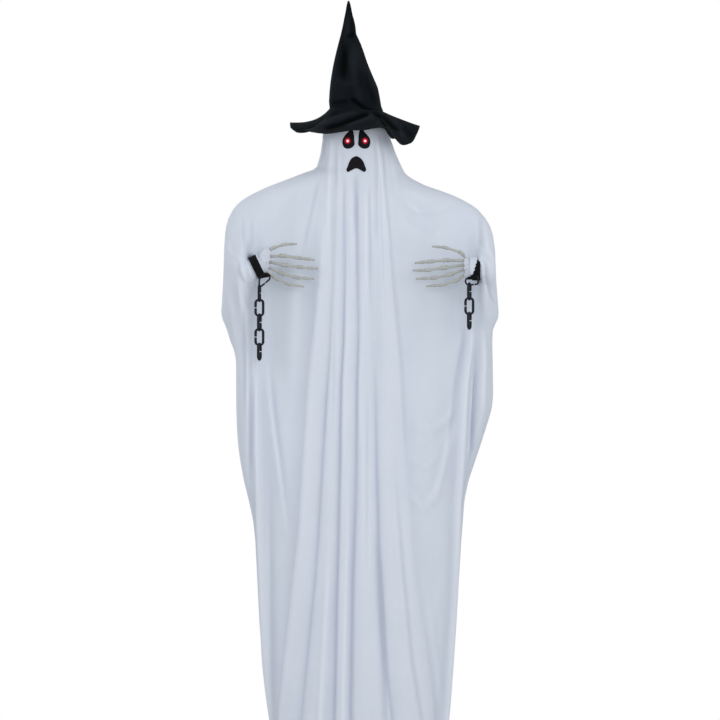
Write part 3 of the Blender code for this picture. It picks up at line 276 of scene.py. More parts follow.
def newGroup(name, inputs, outputs):
    group = bpy.data.node_groups.new(name, "ShaderNodeTree")
    sockets = group.interface
    sockets.new_socket(name="Vector", in_out="INPUT", socket_type="NodeSocketVector")
    for label, value in inputs.items():
        socket = sockets.new_socket(name=label, in_out="INPUT", socket_type="NodeSocketFloat")
        socket.default_value = value
    for label in outputs:
        sockets.new_socket(name=label, in_out="OUTPUT", socket_type="NodeSocketFloat")
    given = group.nodes.new("NodeGroupInput").outputs
    return group, given, group.nodes.new("NodeGroupOutput")


def makeThreads():
    # Two crossed sets of threads with slubs: a height for bump and a shade
    group, given, made = newGroup(
        "threads", {"Across": 300.0, "Along": 300.0, "Slub": 14.0}, ("Height", "Shade"))
    warp, weft = (addNode(group, "ShaderNodeTexWave", {
        "Vector": given["Vector"], "Scale": given[way], "Distortion": 0.4, "Detail": 0.0},
        bands_direction=bands).outputs["Fac"] for way, bands in (("Across", "X"), ("Along", "Y")))
    slub = noiseOf(group, given["Vector"], given["Slub"], 5.0, 0.6)
    height = mathOf(group, "MULTIPLY", mathOf(group, "ADD", warp, weft), slub)
    setInputs(group, made, {"Height": height, "Shade": slub})
    return group


def makeMoulding():
    # Fine grain and a slow drift of tone on moulded or painted pieces
    group, given, made = newGroup(
        "moulding", {"Grain": 900.0, "Drift": 25.0}, ("Height", "Shade", "Scuff"))
    grain = noiseOf(group, given["Vector"], given["Grain"], 3.0)
    drift = noiseOf(group, given["Vector"], given["Drift"], 6.0, 0.65)
    scuff = spreadOf(group, drift, 0.56, 0.72)
    setInputs(group, made, {"Height": grain, "Shade": drift, "Scuff": scuff})
    return group


threads = makeThreads()
moulding = makeMoulding()


def startLook(name):
    look = bpy.data.materials.new(name)
    look.use_nodes = True
    tree = look.node_tree
    return look, tree, tree.nodes["Principled BSDF"]


def addRelief(tree, shader, height, strength, depth):
    relief = addNode(tree, "ShaderNodeBump", {
        "Strength": strength, "Distance": depth, "Height": height})
    tree.links.new(relief.outputs[0], shader.inputs["Normal"])


def clothLook(name, finish):
    look, tree, shader = startLook(name)
    place = addNode(tree, "ShaderNodeTexCoord").outputs["UV"]
    across, along = finish["threads"]
    weave = addNode(tree, "ShaderNodeGroup", {
        "Vector": place, "Across": across, "Along": along, "Slub": finish["slub"]},
        node_tree=threads).outputs
    tone = spreadOf(tree, weave["Shade"], *clothTone["span"])
    tinted = mixedColour(tree, tone, opaque(finish["shade"]), opaque(finish["colour"]))
    if "valley" in finish:
        # painted shade in the valleys between folds and a painted highlight on their ridges, set
        # by the fold shade attribute
        fold = addNode(tree, "ShaderNodeAttribute", attribute_name="paintedFoldShade").outputs["Fac"]
        for form, end in (("valley", 1.0), ("ridge", 0.0)):
            share = spreadOf(tree, fold, 0.5, end)
            tinted = mixedColour(tree, share, tinted, opaque(finish[form]))
    smoothest = finish["roughness"] - clothTone["rough"]
    roughest = min(1, finish["roughness"] + clothTone["rough"])
    rough = spreadOf(tree, weave["Shade"], *clothTone["roughSpan"], smoothest, roughest)
    setInputs(tree, shader, {
        "Base Color": tinted, "Sheen Weight": finish["sheen"], "Roughness": rough,
        "Sheen Roughness": clothTone["sheenRough"], "Specular IOR Level": finish["specular"]})
    addRelief(tree, shader, weave["Height"], finish["bump"], finish["depth"])
    return look


def mouldedLook(name, colour, worn, grain=900.0, drift=25.0, roughness=0.45, bump=0.15,
                metallic=0.0, specular=0.5):
    look, tree, shader = startLook(name)
    place = addNode(tree, "ShaderNodeTexCoord").outputs["Object"]
    form = addNode(tree, "ShaderNodeGroup", {"Vector": place, "Grain": grain, "Drift": drift},
                   node_tree=moulding).outputs
    paler = opaque([min(1, c * mouldedTone["paler"]) for c in colour])
    share = spreadOf(tree, form["Shade"], *mouldedTone["span"])
    tone = mixedColour(tree, share, opaque(colour), paler)
    less, more = mouldedTone["rough"]
    rough = spreadOf(
        tree, form["Shade"], *mouldedTone["roughSpan"], roughness + less, roughness + more)
    setInputs(tree, shader, {
        "Base Color": mixedColour(tree, form["Scuff"], tone, opaque(worn)), "Metallic": metallic,
        "Specular IOR Level": specular, "Roughness": rough})
    addRelief(tree, shader, form["Height"], bump, mouldedTone["depth"])
    return look


def redLightLook(name):
    # A red lens whose core is burnt out to white
    look, tree, shader = startLook(name)
    facing = addNode(tree, "ShaderNodeLayerWeight", {
        "Blend": lightSettings["facing"]}).outputs["Facing"]
    share = spreadOf(tree, facing, *lightSettings["coreSpan"])
    glow = mixedColour(tree, share, lightSettings["core"], lightSettings["rim"])
    setInputs(tree, shader, {
        "Emission Color": glow, "Base Color": lightSettings["lens"],
        "Emission Strength": lightSettings["strength"], "Roughness": lightSettings["roughness"]})
    return look


def feltLook(name):
    # Black felt with a painted red glow round each lens, where its light would spill
    look, tree, shader = startLook(name)
    place = addNode(tree, "ShaderNodeTexCoord").outputs["Object"]
    fibre = noiseOf(tree, place, *feltFinish["fibre"])
    tone = mixedColour(tree, fibre, feltFinish["dark"], feltFinish["pale"])
    addRelief(tree, shader, fibre, feltFinish["bump"], feltFinish["depth"])
    paintedSpill = None
    for x, z in lightSettings["places"].values():
        flat = addNode(tree, "ShaderNodeVectorMath", {0: place, 1: (1, 0, 1)},
                       operation="MULTIPLY")
        gap = addNode(tree, "ShaderNodeVectorMath", {0: flat.outputs[0], 1: (x, 0, z)},
                      operation="DISTANCE").outputs["Value"]
        near = spreadOf(tree, gap, lightSettings["spillFrom"], lightSettings["spillTo"], 1.0, 0.0)
        near = mathOf(tree, "POWER", near, 2.0)
        paintedSpill = mathOf(tree, "ADD", paintedSpill, near) if paintedSpill else near
    # the felt itself emits this painted red glow; the lens does not light it
    glow = mixedColour(tree, paintedSpill, (0, 0, 0, 1), lightSettings["paintedSpill"])
    setInputs(tree, shader, {
        "Base Color": tone, "Emission Color": glow, "Emission Strength": 1.0,
        "Roughness": feltFinish["roughness"], "Specular IOR Level": feltFinish["specular"]})
    return look


looks = {name: clothLook(name, finish) for name, finish in clothFinishes.items()}
for name, (colour, worn, others) in mouldedFinishes.items():
    looks[name] = mouldedLook(name, colour, worn, **others)
looks["redLens"] = redLightLook("redLens")
looks["blackFelt"] = feltLook("blackFelt")
print("finishes are mixed")


def selectOnly(obj):
    bpy.ops.object.select_all(action="DESELECT")
    bpy.context.view_layer.objects.active = obj
    obj.select_set(True)


def pieceFrom(name, points, faces, look):
    mesh = bpy.data.meshes.new(name)
    mesh.from_pydata([tuple(p) for p in points], [], faces)
    mesh.update()
    obj = bpy.data.objects.new(name, mesh)
    scene.collection.objects.link(obj)
    mesh.materials.append(looks[look])
    mesh.shade_smooth()
    return obj


def mendNormals(obj, merge=0.0, facesFront=False):
    # Normals made to agree, after doubles are merged; facesFront turns them to the viewer
    bm = bmesh.new()
    bm.from_mesh(obj.data)
    if merge:
        bmesh.ops.remove_doubles(bm, verts=bm.verts[:], dist=merge)
    bmesh.ops.recalc_face_normals(bm, faces=bm.faces[:])
    if facesFront and sum(face.normal.y for face in bm.faces) > 0:
        bmesh.ops.reverse_faces(bm, faces=bm.faces[:])
    bm.to_mesh(obj.data)
    bm.free()


def applyAll(obj):
    selectOnly(obj)
    for modifier in list(obj.modifiers):
        bpy.ops.object.modifier_apply(modifier=modifier.name)
    obj.select_set(False)
    return obj


def addWall(obj, thickness, offset=-1.0):
    wall = obj.modifiers.new("wall", "SOLIDIFY")
    wall.thickness = thickness
    wall.offset = offset
    wall.use_even_offset = False
    return applyAll(obj)


def gridFaces(rows, columns, closed=False):
    # Quads of a grid whose rows run down and columns to the right, seen from outside
    faces = []
    last = columns if closed else columns - 1
    for row in range(rows - 1):
        for column in range(last):
            beside = (column + 1) % columns
            here = row * columns
            faces.append((here + column, here + columns + column,
                          here + columns + beside, here + beside))
    return faces


def giveMap(obj, places):
    # One place on the flat cloth, in metres, for each vertex
    layer = obj.data.uv_layers.new(name="flatCloth")
    index = np.empty(len(obj.data.loops), np.int32)
    obj.data.loops.foreach_get("vertex_index", index)
    layer.data.foreach_set("uv", np.asarray(places, np.float32)[index].ravel())


def givePaintedShade(obj, values):
    # Painted fold shade for each vertex: 0.5 on even cloth, up to 1 for painted shade in a valley,
    # down to 0 for a painted highlight on a ridge
    layer = obj.data.attributes.new("paintedFoldShade", "FLOAT", "POINT")
    layer.data.foreach_set("value", np.asarray(values, np.float32))


def eased(value):
    value = np.clip(value, 0, 1)
    return value * value * (3 - 2 * value)


def squarish(values, power):
    # Rounds a sine or cosine towards a square's
    return np.sign(values) * np.abs(values) ** power


# The robe. Widths and pleats of its front follow the photograph; the back is made to suit.
robeSettings = {
    "top": 1.6, "hem": 0.024, "wall": 0.0009, "backGap": 0.0004, "squareness": 2.2,
    "head": (-0.005, 1.5), "crown": (0.080, 0.0895, 0.100),
    "crownRings": (5, 85, 14),  # first and last angle from the top, and how many
    "columns": (76, 18, 22, 22, 26, 30, 80),  # between the tracked lines, left to right
    "backColumns": 240, "seamSharp": 7, "sideBlur": 0.09, "sideFrom": 1.26, "sideOver": 0.16,
    # the cut pieces, and where the middle of the crown lies across each
    "cut": (1.32, 1.78), "backCut": (1.22, 1.78), "crownAt": 0.66, "backCrownAt": 0.6,
    "cutEase": 1.05, "backGrid": (200, 260),
    "smoothCrown": (0.02, 0.06), "smoothSeam": (3, 0.7), "frontSteep": 5,
    "pleatGain": 1.2, "foldGain": 1.8, "nearSeam": 0.985, "pleatDepth": -0.13,
    # the step beside the pleats fades over this many units; pleats get crisper down this stretch
    "stepFade": 5.0, "crease": (1.5, 0.85), "creaseFrom": 180, "creaseOver": 180,
    "drift": 0.55, "driftSeed": 7, "driftWaves": 7, "lightHole": 0.0042,
    # blur widths on the grid and depths in metres that give a valley its full painted shade
    "shadeBlurs": ((2.4, 0.0034), (7.0, 0.0115)), "shadeGrid": (200, 520, 0.5),
    # height of the row groups' ends and their spacing
    "rows": ((1.5, 1.40, 0.0075), (1.40, 1.02, 0.0064), (1.02, 0.70, 0.0105),
             (0.70, 0.024, 0.0145)),
}
# outline: height in grid units, left edge, right edge
robeOutline = np.array([
    (140.4, 322.6, 390.9), (144, 322.0, 392.4), (152, 320.9, 395.0), (158, 319.5, 397.6),
    (163.7, 317.8, 400.2), (166, 317.2, 401.2), (169, 316.0, 402.6), (170.4, 311.0, 403.4),
    (173, 303.6, 404.8), (176.8, 293.9, 408.8), (180.5, 284.3, 415.0), (186, 270.0, 426.5),
    (189, 262.8, 436.0), (195, 250.4, 452.4), (200, 242.3, 463.0), (205, 236.7, 471.8),
    (210, 232.9, 478.4), (218, 228.6, 485.2), (226, 226.2, 490.0), (235, 225.0, 492.9),
    (250, 224.2, 494.9), (262, 223.9, 495.2), (280, 223.2, 496.0), (295, 222.4, 497.3),
    (305, 221.8, 498.0), (312, 221.2, 498.5), (318, 222.2, 498.2), (324, 224.6, 495.2),
    (330, 227.0, 492.6), (340, 229.9, 492.0), (350, 234.0, 492.0), (360, 236.0, 492.2),
    (395, 236.3, 492.5), (408, 236.5, 491.2), (420, 236.9, 487.6), (430, 237.4, 484.4),
    (446, 238.6, 479.2), (460, 240.6, 474.4), (480, 244.2, 467.6), (500, 249.2, 463.2),
    (520, 253.6, 461.8), (540, 255.8, 460.2), (580, 257.9, 457.8), (620, 259.9, 455.6),
    (660, 262.8, 452.9), (700, 267.4, 449.6), (719, 269.8, 447.6), (766, 274.6, 443.8),
])
# height in metres, front depth, back depth, in millimetres
robeDepths = np.array([
    (1.5, 89.5, 89.5), (1.458, 86.8, 90.3), (1.428, 85.4, 88.2), (1.406, 86.1, 88.2),
    (1.386, 88.2, 91.7), (1.356, 92.4, 100.1), (1.308, 98.0, 107.8), (1.249, 105.7, 114.1),
    (1.189, 114.1, 118.3), (1.135, 118.3, 121.1), (1.03, 120.4, 123.9), (0.875, 121.8, 126.0),
    (0.69, 126.0, 128.1), (0.44, 132.3, 131.6), (0.14, 140.0, 135.8), (0.024, 142.8, 137.9),
])
# the creases between the centre pleats: (height, place) in grid units
pleatLines = (
    ((136, 325.2), (152, 324.6), (168, 324.8), (190, 324.2), (206, 322.6), (230, 320.2),
     (274, 316.8), (310, 314.4), (340, 311.6), (380, 307.6), (448, 303.2), (487, 301.0),
     (530, 298.6), (573, 293.4), (637, 286.6), (684, 281.5), (714, 278.5), (766, 274.8)),
    ((136, 333.0), (152, 334.5), (169, 336.0), (190, 336.0), (226, 334.6), (250, 334.0),
     (290, 332.6), (330, 330.6), (350, 330.0), (370, 328.8), (400, 326.6), (430, 324.8),
     (460, 323.0), (500, 320.8), (540, 318.6), (580, 315.6), (620, 311.4), (660, 307.4),
     (700, 303.2), (766, 297.5)),
    ((136, 341.0), (170, 343.5), (190, 345.0), (246, 345.2), (290, 344.4), (341, 343.8),
     (380, 341.6), (430, 340.6), (460, 340.2), (500, 339.2), (540, 338.6), (620, 336.4),
     (660, 335.8), (700, 334.8), (766, 333.2)),
    ((136, 356.0), (170, 357.0), (183, 357.9), (341, 358.4), (380, 357.2), (430, 356.8),
     (487, 356.0), (530, 354.6), (573, 353.0), (714, 350.8), (766, 350.0)),
    ((136, 373.5), (150, 375.0), (169, 376.6), (341, 376.4), (380, 375.4), (466, 376.5),
     (551, 378.7), (659, 385.0), (714, 391.5), (766, 397.0)),
    ((136, 381.5), (161, 384.0), (200, 389.0), (230, 391.7), (284, 393.7), (341, 398.4),
     (380, 401.6), (418, 403.4), (487, 406.5), (573, 413.0), (659, 428.0), (701, 433.5),
     (766, 436.0)),
)
# each pleat: (height, where its ridge lies across it, rise in millimetres)
pleatForms = (
    ((136, 0.5, 0.5), (169, 0.5, 1.2), (190, 0.4, 1.6), (246, 0.3, 3.4), (341, 0.32, 6.0),
     (487, 0.35, 8.0), (640, 0.35, 7.5), (714, 0.3, 5.0), (766, 0.35, 4.5)),
    ((136, 0.3, 1.0), (169, 0.4, 1.2), (246, 0.4, 1.8), (300, 0.4, 2.8), (341, 0.42, 3.8),
     (430, 0.42, 6.0), (487, 0.55, 5.8), (600, 0.55, 7.0), (714, 0.55, 8.5), (766, 0.5, 8.0)),
    ((136, 0.5, 0.3), (172, 0.4, 1.2), (246, 0.35, 3.6), (310, 0.25, 5.5), (341, 0.25, 6.0),
     (430, 0.28, 7.0), (487, 0.35, 6.3), (600, 0.42, 7.5), (714, 0.5, 9.0), (766, 0.5, 8.0)),
    ((136, 0.8, 0.4), (169, 0.7, 1.6), (190, 0.5, 2.8), (246, 0.35, 3.4), (300, 0.22, 4.2),
     (341, 0.22, 5.0), (430, 0.25, 6.5), (487, 0.35, 8.0), (714, 0.35, 12.0), (766, 0.35, 11.0)),
    ((136, 0.4, 1.8), (169, 0.4, 2.8), (246, 0.4, 3.0), (300, 0.45, 3.6), (341, 0.5, 4.4),
     (430, 0.4, 6.0), (487, 0.33, 8.0), (600, 0.33, 10.5), (714, 0.35, 12.0), (766, 0.4, 10.5)),
)
# how far the pleated middle stands in front of the cloth beside it: height, left and right in mm
pleatStep = np.array([
    (136, 0.2, 0.2), (160, 1.0, 1.0), (200, 5.0, 2.5), (246, 6.5, 4.0), (341, 7.0, 7.0),
    (487, 8.0, 8.0), (600, 6.0, 6.5), (660, 3.6, 4.0), (714, 2.0, 2.6), (766, 2.0, 2.0),
])
# other folds: line of (across, height), widths left and right of it, rise in millimetres, and
# the shares of its length over which it fades in and out
robeFolds = (
    # left arm
    (((251.5, 234), (247.5, 253), (244.0, 272)), 4.5, 5.0, -3.6, 0.45, 0.45),
    (((238.7, 274), (241, 296), (244.4, 318)), 2.0, 3.0, 2.5, 0.4, 0.3),
    (((241.0, 262), (242.5, 272), (247, 281), (252, 284)), 2.5, 2.5, 2.0, 0.4, 0.4),
    (((244.4, 310), (244.2, 330), (243.4, 420)), 2.2, 2.2, -1.6, 0.3, 0.4),
    (((248.6, 320), (249.0, 380), (250.0, 448), (250.6, 508)), 2.0, 2.6, -2.4, 0.3, 0.3),
    (((248.0, 300), (248.5, 380), (248.2, 450)), 1.8, 1.8, 3.0, 0.2, 0.3),
    (((257.8, 345), (258.8, 448), (261, 540), (266, 700), (269, 766)), 3.5, 5.0, 5.0, 0.15, 0.1),
    (((269, 352), (274.5, 412), (281, 460), (289, 526)), 1.5, 4.0, -1.4, 0.3, 0.5),
    (((266, 352), (268.4, 376), (271.8, 412), (278, 460), (286.5, 526), (292, 565)),
     3.6, 1.6, 1.8, 0.3, 0.5),
    (((270.2, 440), (270.8, 530), (272.0, 714), (275, 766)), 1.8, 7.0, -2.2, 0.4, 0.05),
    (((238.5, 258), (239.5, 272), (243.5, 281.5), (250, 284.5), (256, 281)),
     1.6, 2.2, -1.6, 0.3, 0.4),
    (((242.5, 212), (243, 235), (245, 252)), 1.5, 2.2, -1.0, 0.4, 0.3),
    (((251.5, 214), (252, 235), (253, 250)), 1.3, 2.0, -0.8, 0.4, 0.3),
    (((228, 240), (231, 252), (240, 258), (249, 258)), 2.0, 2.0, 1.6, 0.4, 0.2),
    (((226, 276), (231, 300), (236, 330), (240, 372)), 3.0, 3.0, 1.8, 0.4, 0.4),
    # right arm
    (((480.5, 205), (480.8, 232), (480, 256)), 2.8, 3.4, -1.8, 0.4, 0.3),
    (((484, 222), (486, 246), (490, 262)), 2.0, 2.5, 1.8, 0.4, 0.3),
    (((476, 248), (485, 251), (492, 257), (495, 264)), 2.4, 2.4, 1.8, 0.3, 0.4),
    (((481, 258), (486, 266), (487, 280), (491, 296), (497, 308.8)), 2.0, 2.6, -3.0, 0.25, 0.3),
    (((463.8, 318), (463.5, 341), (456.8, 379.6), (449, 448), (444, 480)),
     2.6, 3.5, -2.0, 0.2, 0.4),
    (((470.5, 300), (469, 345), (465, 385), (461, 448), (457.5, 500), (455.5, 594), (446, 714),
     (441, 766)), 4.0, 3.5, 5.5, 0.12, 0.05),
    (((475.6, 335), (475.2, 379.6), (472, 448), (464, 490)), 1.8, 2.8, -3.2, 0.4, 0.4),
    (((482, 318), (484, 360), (482, 410), (476, 450)), 2.6, 3.0, 2.2, 0.3, 0.4),
    # swags on the right shoulder and skirt
    (((401, 198), (418.5, 212.5), (439.6, 209.5), (456.8, 199.7)), 3.0, 3.5, 2.2, 0.35, 0.35),
    (((399, 206), (412, 226), (430, 234), (446, 222)), 4.0, 5.0, -1.2, 0.4, 0.4),
    (((406.5, 480), (413, 498), (422.6, 506.5), (434.4, 495.8), (443, 465.8), (455.9, 412)),
     4.0, 3.5, 2.6, 0.3, 0.35),
    (((410, 418), (420, 429), (430, 431.5), (449.4, 416.5), (455.9, 393)),
     3.5, 3.5, 1.8, 0.35, 0.3),
    (((407, 452), (410.8, 459), (426, 466), (440, 452)), 3.0, 3.0, 1.4, 0.35, 0.4),
    # beside the middle, left and right
    (((300, 200), (296, 260), (294, 340), (290, 420)), 6.0, 7.0, 1.8, 0.4, 0.4),
    (((372, 500), (378, 560), (384, 660), (386, 766)), 5.0, 3.0, -3.0, 0.4, 0.02),
    (((421, 560), (432, 640), (440, 701), (443, 766)), 3.5, 3.5, 1.0, 0.4, 0.1),
    (((391.4, 437), (400.3, 549), (410.4, 661), (419.3, 721), (425, 766)),
     2.6, 3.2, -2.2, 0.4, 0.05),
    (((330.5, 520), (327.5, 600), (321.5, 720), (318, 766)), 3.0, 3.6, 2.4, 0.4, 0.05),
    (((349, 420), (347, 560), (343.5, 700), (343, 766)), 2.0, 2.6, 1.3, 0.4, 0.1),
    (((368, 360), (366.5, 480), (366, 600)), 1.8, 1.8, -1.2, 0.4, 0.4),
    (((334.5, 300), (333.5, 400), (330.5, 470)), 1.6, 1.8, -1.2, 0.4, 0.5),
    # neck and chest
    (((331.8, 132), (331.4, 150), (330.0, 172), (328.6, 200), (329.2, 290)),
     2.4, 2.6, 1.7, 0.06, 0.5),
    (((337.0, 140), (336.6, 165), (336.2, 200)), 1.5, 1.5, -0.9, 0.15, 0.5),
    (((319.0, 176), (316.5, 190), (312.6, 206), (308.4, 226), (303.2, 250), (299, 262)),
     2.0, 2.2, -1.3, 0.2, 0.35),
    (((344.2, 172), (344.2, 230), (343.6, 290)), 2.0, 1.6, -1.0, 0.25, 0.5),
    (((368.6, 178), (369.6, 215), (370.2, 250), (370.4, 300), (370.6, 330)),
     1.6, 1.6, -1.5, 0.15, 0.5),
    (((376.4, 222), (376.4, 320), (375.8, 420)), 2.4, 2.4, 1.3, 0.15, 0.35),
    (((379.8, 166), (380.2, 206), (382, 250), (384.5, 300), (388.5, 370)),
     1.3, 1.5, -1.2, 0.12, 0.8),
    (((347.6, 172), (348.6, 246), (349.4, 330)), 1.2, 1.3, -0.8, 0.3, 0.5),
    (((364.5, 176), (365.5, 240), (367.0, 330)), 2.2, 2.6, 0.8, 0.3, 0.5),
    (((378.0, 130), (378.6, 160), (379.4, 210), (383.0, 300)), 1.1, 1.1, 1.0, 0.1, 0.5),
    (((382.4, 138), (384.2, 176), (386.5, 200), (389.2, 226), (391.2, 250), (394.5, 290),
     (398.5, 330)), 1.5, 2.2, -1.3, 0.2, 0.3),
    (((393.6, 276), (398.3, 330), (401.4, 370), (403.4, 418), (406, 487)),
     2.2, 3.0, -1.4, 0.2, 0.4),
    (((391.5, 148), (394.2, 175), (397.5, 205)), 2.0, 2.4, 0.9, 0.3, 0.5),
    (((325.5, 128), (323.0, 150), (321.0, 164)), 2.4, 2.0, -1.2, 0.2, 0.4),
    # under the mouth
    (((355.5, 172), (355.5, 200), (356, 246)), 2.6, 2.6, -1.8, 0.15, 0.5),
    (((356.8, 180), (357.2, 250), (357.4, 330)), 1.6, 1.3, -1.5, 0.2, 0.5),
)
# folds of the back: how they stray from even places, and the ranges that their sizes come from
backFoldSettings = {
    "shoulderOver": 0.3, "swayRate": 3.4, "fullness": 1.2, "seamSteep": 3.2,
    "count": 19, "seed": 23, "deepEvery": 3, "stray": 0.32, "width": (0.011, 0.026),
    "start": (1.18, 1.45), "length": (0.5, 1.3), "deepLength": 3.0, "lean": (-0.03, 0.03),
    "sway": (0.002, 0.006), "rise": (0.0045, 0.0095), "deepRise": (0.010, 0.0145),
    "fadeIn": 0.5, "fadeOut": 0.4, "spread": 0.05, "swing": 0.004, "shoulder": 1.45,
}
# Where each wrist lifts the cloth: centre of the wrist, its direction, the lift's peak, its widths
# towards the middle and outwards, and how the sleeve's edge slants
wristLift = {
    "left": {"centre": (-0.239, -0.150, 1.201), "axis": (0.898794, 0.438371), "peak": -0.272,
             "inner": 0.037, "outer": 0.052, "slant": 0.0},
    "right": {"centre": (0.276, -0.150, 1.195), "axis": (-1.0, 0.0), "peak": 0.301,
              "inner": 0.034, "outer": 0.042, "slant": 0.55},
}
# how far the arms carry the cloth forwards at the wrist and below it, and over which heights
liftSettings = {"lift": 0.112, "drop": 0.066, "above": 0.090, "held": 0.095, "below": 0.62}
sleeveReach = {
    "pleatOver": 0.008, "pleatEnd": 0.05, "pleatFade": 0.03, "side": (0.8, 0.6, 1.333),
    "bendFrom": 0.006, "softGrow": 0.9, "clearOver": 0.001, "farEnd": 0.05, "farFade": 0.03,
    "tube": 0.0276, "clear": 0.031, "coverFrom": -0.0105, "hand": 0.13,
    "flare": 0.010, "flareOver": 0.04, "gather": 0.0125, "pleat": 0.0017, "bend": 0.034,
    "slantFrom": 0.007, "slantOver": 0.017, "blend": 0.008, "behindHand": 0.018,
    # how far behind the sleeve's edge the swell ends, and how far beside the arm it softens
    "swellEnd": 0.075, "swellFade": 0.02, "softFrom": 0.024, "softest": 0.0012, "widest": 2.2,
}


def foldHeight(px, py, fold):
    line, wideLeft, wideRight, rise, fadeStart, fadeEnd = fold
    points = np.array(line, float)
    runs = np.hypot(*(points[1:] - points[:-1]).T)
    total = runs.sum()
    nearest = np.full(px.shape, 1e9)
    side = np.zeros(px.shape)
    along = np.zeros(px.shape)
    passed = 0
    for (x0, y0), (x1, y1), run in zip(points, points[1:], runs):
        share = np.clip(((px - x0) * (x1 - x0) + (py - y0) * (y1 - y0)) / run**2, 0, 1)
        gap = np.hypot(px - x0 - share * (x1 - x0), py - y0 - share * (y1 - y0))
        closer = gap < nearest
        nearest = np.where(closer, gap, nearest)
        side = np.where(closer, (x1 - x0) * (py - y0) - (y1 - y0) * (px - x0), side)
        along = np.where(closer, (passed + share * run) / total, along)
        passed += run
    wide = np.where(side > 0, wideLeft, wideRight)
    ends = eased(along / max(fadeStart, 0.001)) * eased((1 - along) / max(fadeEnd, 0.001))
    return rise * mm * ends * np.exp(-((nearest / wide) ** 2))


def robeRows():
    # height, left edge, right edge, front depth and back depth of each row, in metres
    centre, middle = robeSettings["head"]
    wide, deep, tall = robeSettings["crown"]
    rows = []
    for angle in np.radians(np.linspace(*robeSettings["crownRings"])):
        half = wide * math.sin(angle)
        depth = deep * math.sin(angle)
        rows.append((middle + tall * math.cos(angle), centre - half, centre + half, depth, depth))
    heights = []
    for high, low, step in robeSettings["rows"]:
        count = round((high - low) / step)
        heights += list(np.linspace(high, low, count, endpoint=False))
    heights.append(robeSettings["hem"])
    for z in heights:
        edges = (np.interp(gridRow(z), robeOutline[:, 0], robeOutline[:, k]) for k in (1, 2))
        left, right = ((px - viewSettings["middleLine"]) * viewSettings["unit"] for px in edges)
        front, back = (np.interp(-z, -robeDepths[:, 0], robeDepths[:, k]) * mm for k in (1, 2))
        rows.append((z, left, right, front, back))
    return np.array(rows)


def ringPlace(rows, angles, back=False):
    # Points of squarish rings and their outward directions; angles run from the front to the right
    z, left, right, front, behind = (rows[:, k][:, None] for k in range(5))
    centre = (left + right) / 2
    half = (right - left) / 2
    depth = behind if back else front
    across = squarish(np.sin(angles), 2 / robeSettings["squareness"])
    ahead = squarish(np.cos(angles), 2 / robeSettings["squareness"])
    x = centre + half * across
    y = -depth * ahead
    sideways = squarish(across, robeSettings["squareness"] - 1) / half
    forwards = -squarish(ahead, robeSettings["squareness"] - 1) / depth
    size = np.hypot(sideways, forwards)
    return x, y, np.broadcast_to(z, x.shape).copy(), sideways / size, forwards / size


def lineAngles(rows):
    # Angle of each tracked line on each row, the side seams among them
    found = [np.full(len(rows), -math.pi / 2)]
    height = gridRow(np.minimum(rows[:, 0], robeSettings["head"][1]))
    half = (rows[:, 2] - rows[:, 1]) / 2
    centre = (rows[:, 2] + rows[:, 1]) / 2
    start = int(np.argmax(rows[:, 0] <= robeSettings["head"][1]))
    for line in pleatLines:
        py, px = np.array(line).T
        place = worldPlace(np.interp(height, py, px), 0, robeSettings["pleatDepth"])[0]
        share = (place - centre) / half
        share[:start] = share[start]
        share = np.clip(share, -robeSettings["nearSeam"], robeSettings["nearSeam"])
        found.append(np.sign(share) * np.arcsin(np.abs(share) ** (robeSettings["squareness"] / 2)))
    found.append(np.full(len(rows), math.pi / 2))
    return np.array(found).T


def pleatHeight(rows, px, owner, share):
    # Rise of the pleated middle. Each column has an owner, its strip between tracked lines, and
    # its share of the way across that strip.
    py = gridRow(rows[:, 0])[:, None]
    lines = [np.interp(py[:, 0], *np.array(line).T)[:, None] for line in pleatLines]
    stepLeft, stepRight = (np.interp(py, pleatStep[:, 0], pleatStep[:, k]) * mm for k in (1, 2))
    fade = robeSettings["stepFade"]
    soft, crisp = robeSettings["crease"]
    sharp = soft + (crisp - soft) * eased(
        (py - robeSettings["creaseFrom"]) / robeSettings["creaseOver"])
    made = np.zeros(px.shape)
    made[:, owner == 0] = (stepLeft * np.exp(-np.maximum(lines[0] - px, 0) / fade))[:, owner == 0]
    beyond = owner == len(pleatLines)
    made[:, beyond] = (stepRight * np.exp(-np.maximum(px - lines[-1], 0) / fade))[:, beyond]
    for strip, form in enumerate(pleatForms):
        own = owner == strip + 1
        table = np.array(form)
        ridge = np.interp(py, table[:, 0], table[:, 1])
        rise = np.interp(py, table[:, 0], table[:, 2]) * mm
        place = share[own][None, :]
        warped = np.where(place < ridge, 0.5 * place / ridge, 1 - 0.5 * (1 - place) / (1 - ridge))
        tube = robeSettings["pleatGain"] * np.sin(math.pi * warped) ** sharp
        level = stepLeft + (stepRight - stepLeft) * (strip + place) / len(pleatForms)
        made[:, own] = level + rise * tube
    return made


def liftAt(x, z, wrist):
    # How far forwards the arm under it carries the cloth
    s = liftSettings
    out = (x - wrist["peak"]) * math.copysign(1, wrist["peak"])
    spread = np.where(out > 0, wrist["outer"], wrist["inner"])
    rise = z - wrist["centre"][2]
    across = np.exp(-((out / spread) ** 2))
    above = s["lift"] * np.exp(-((rise / s["above"]) ** 2))
    held = np.exp(-((rise / s["held"]) ** 2))
    below = s["lift"] * held + s["drop"] * (1 - held) * np.exp(-((rise / s["below"]) ** 2))
    return across * np.where(rise > 0, above, below)


def softLess(first, second, width):
    # Smaller of the two, rounded where they meet
    share = np.clip(0.5 + 0.5 * (second - first) / width, 0, 1)
    return second + (first - second) * share - width * share * (1 - share)


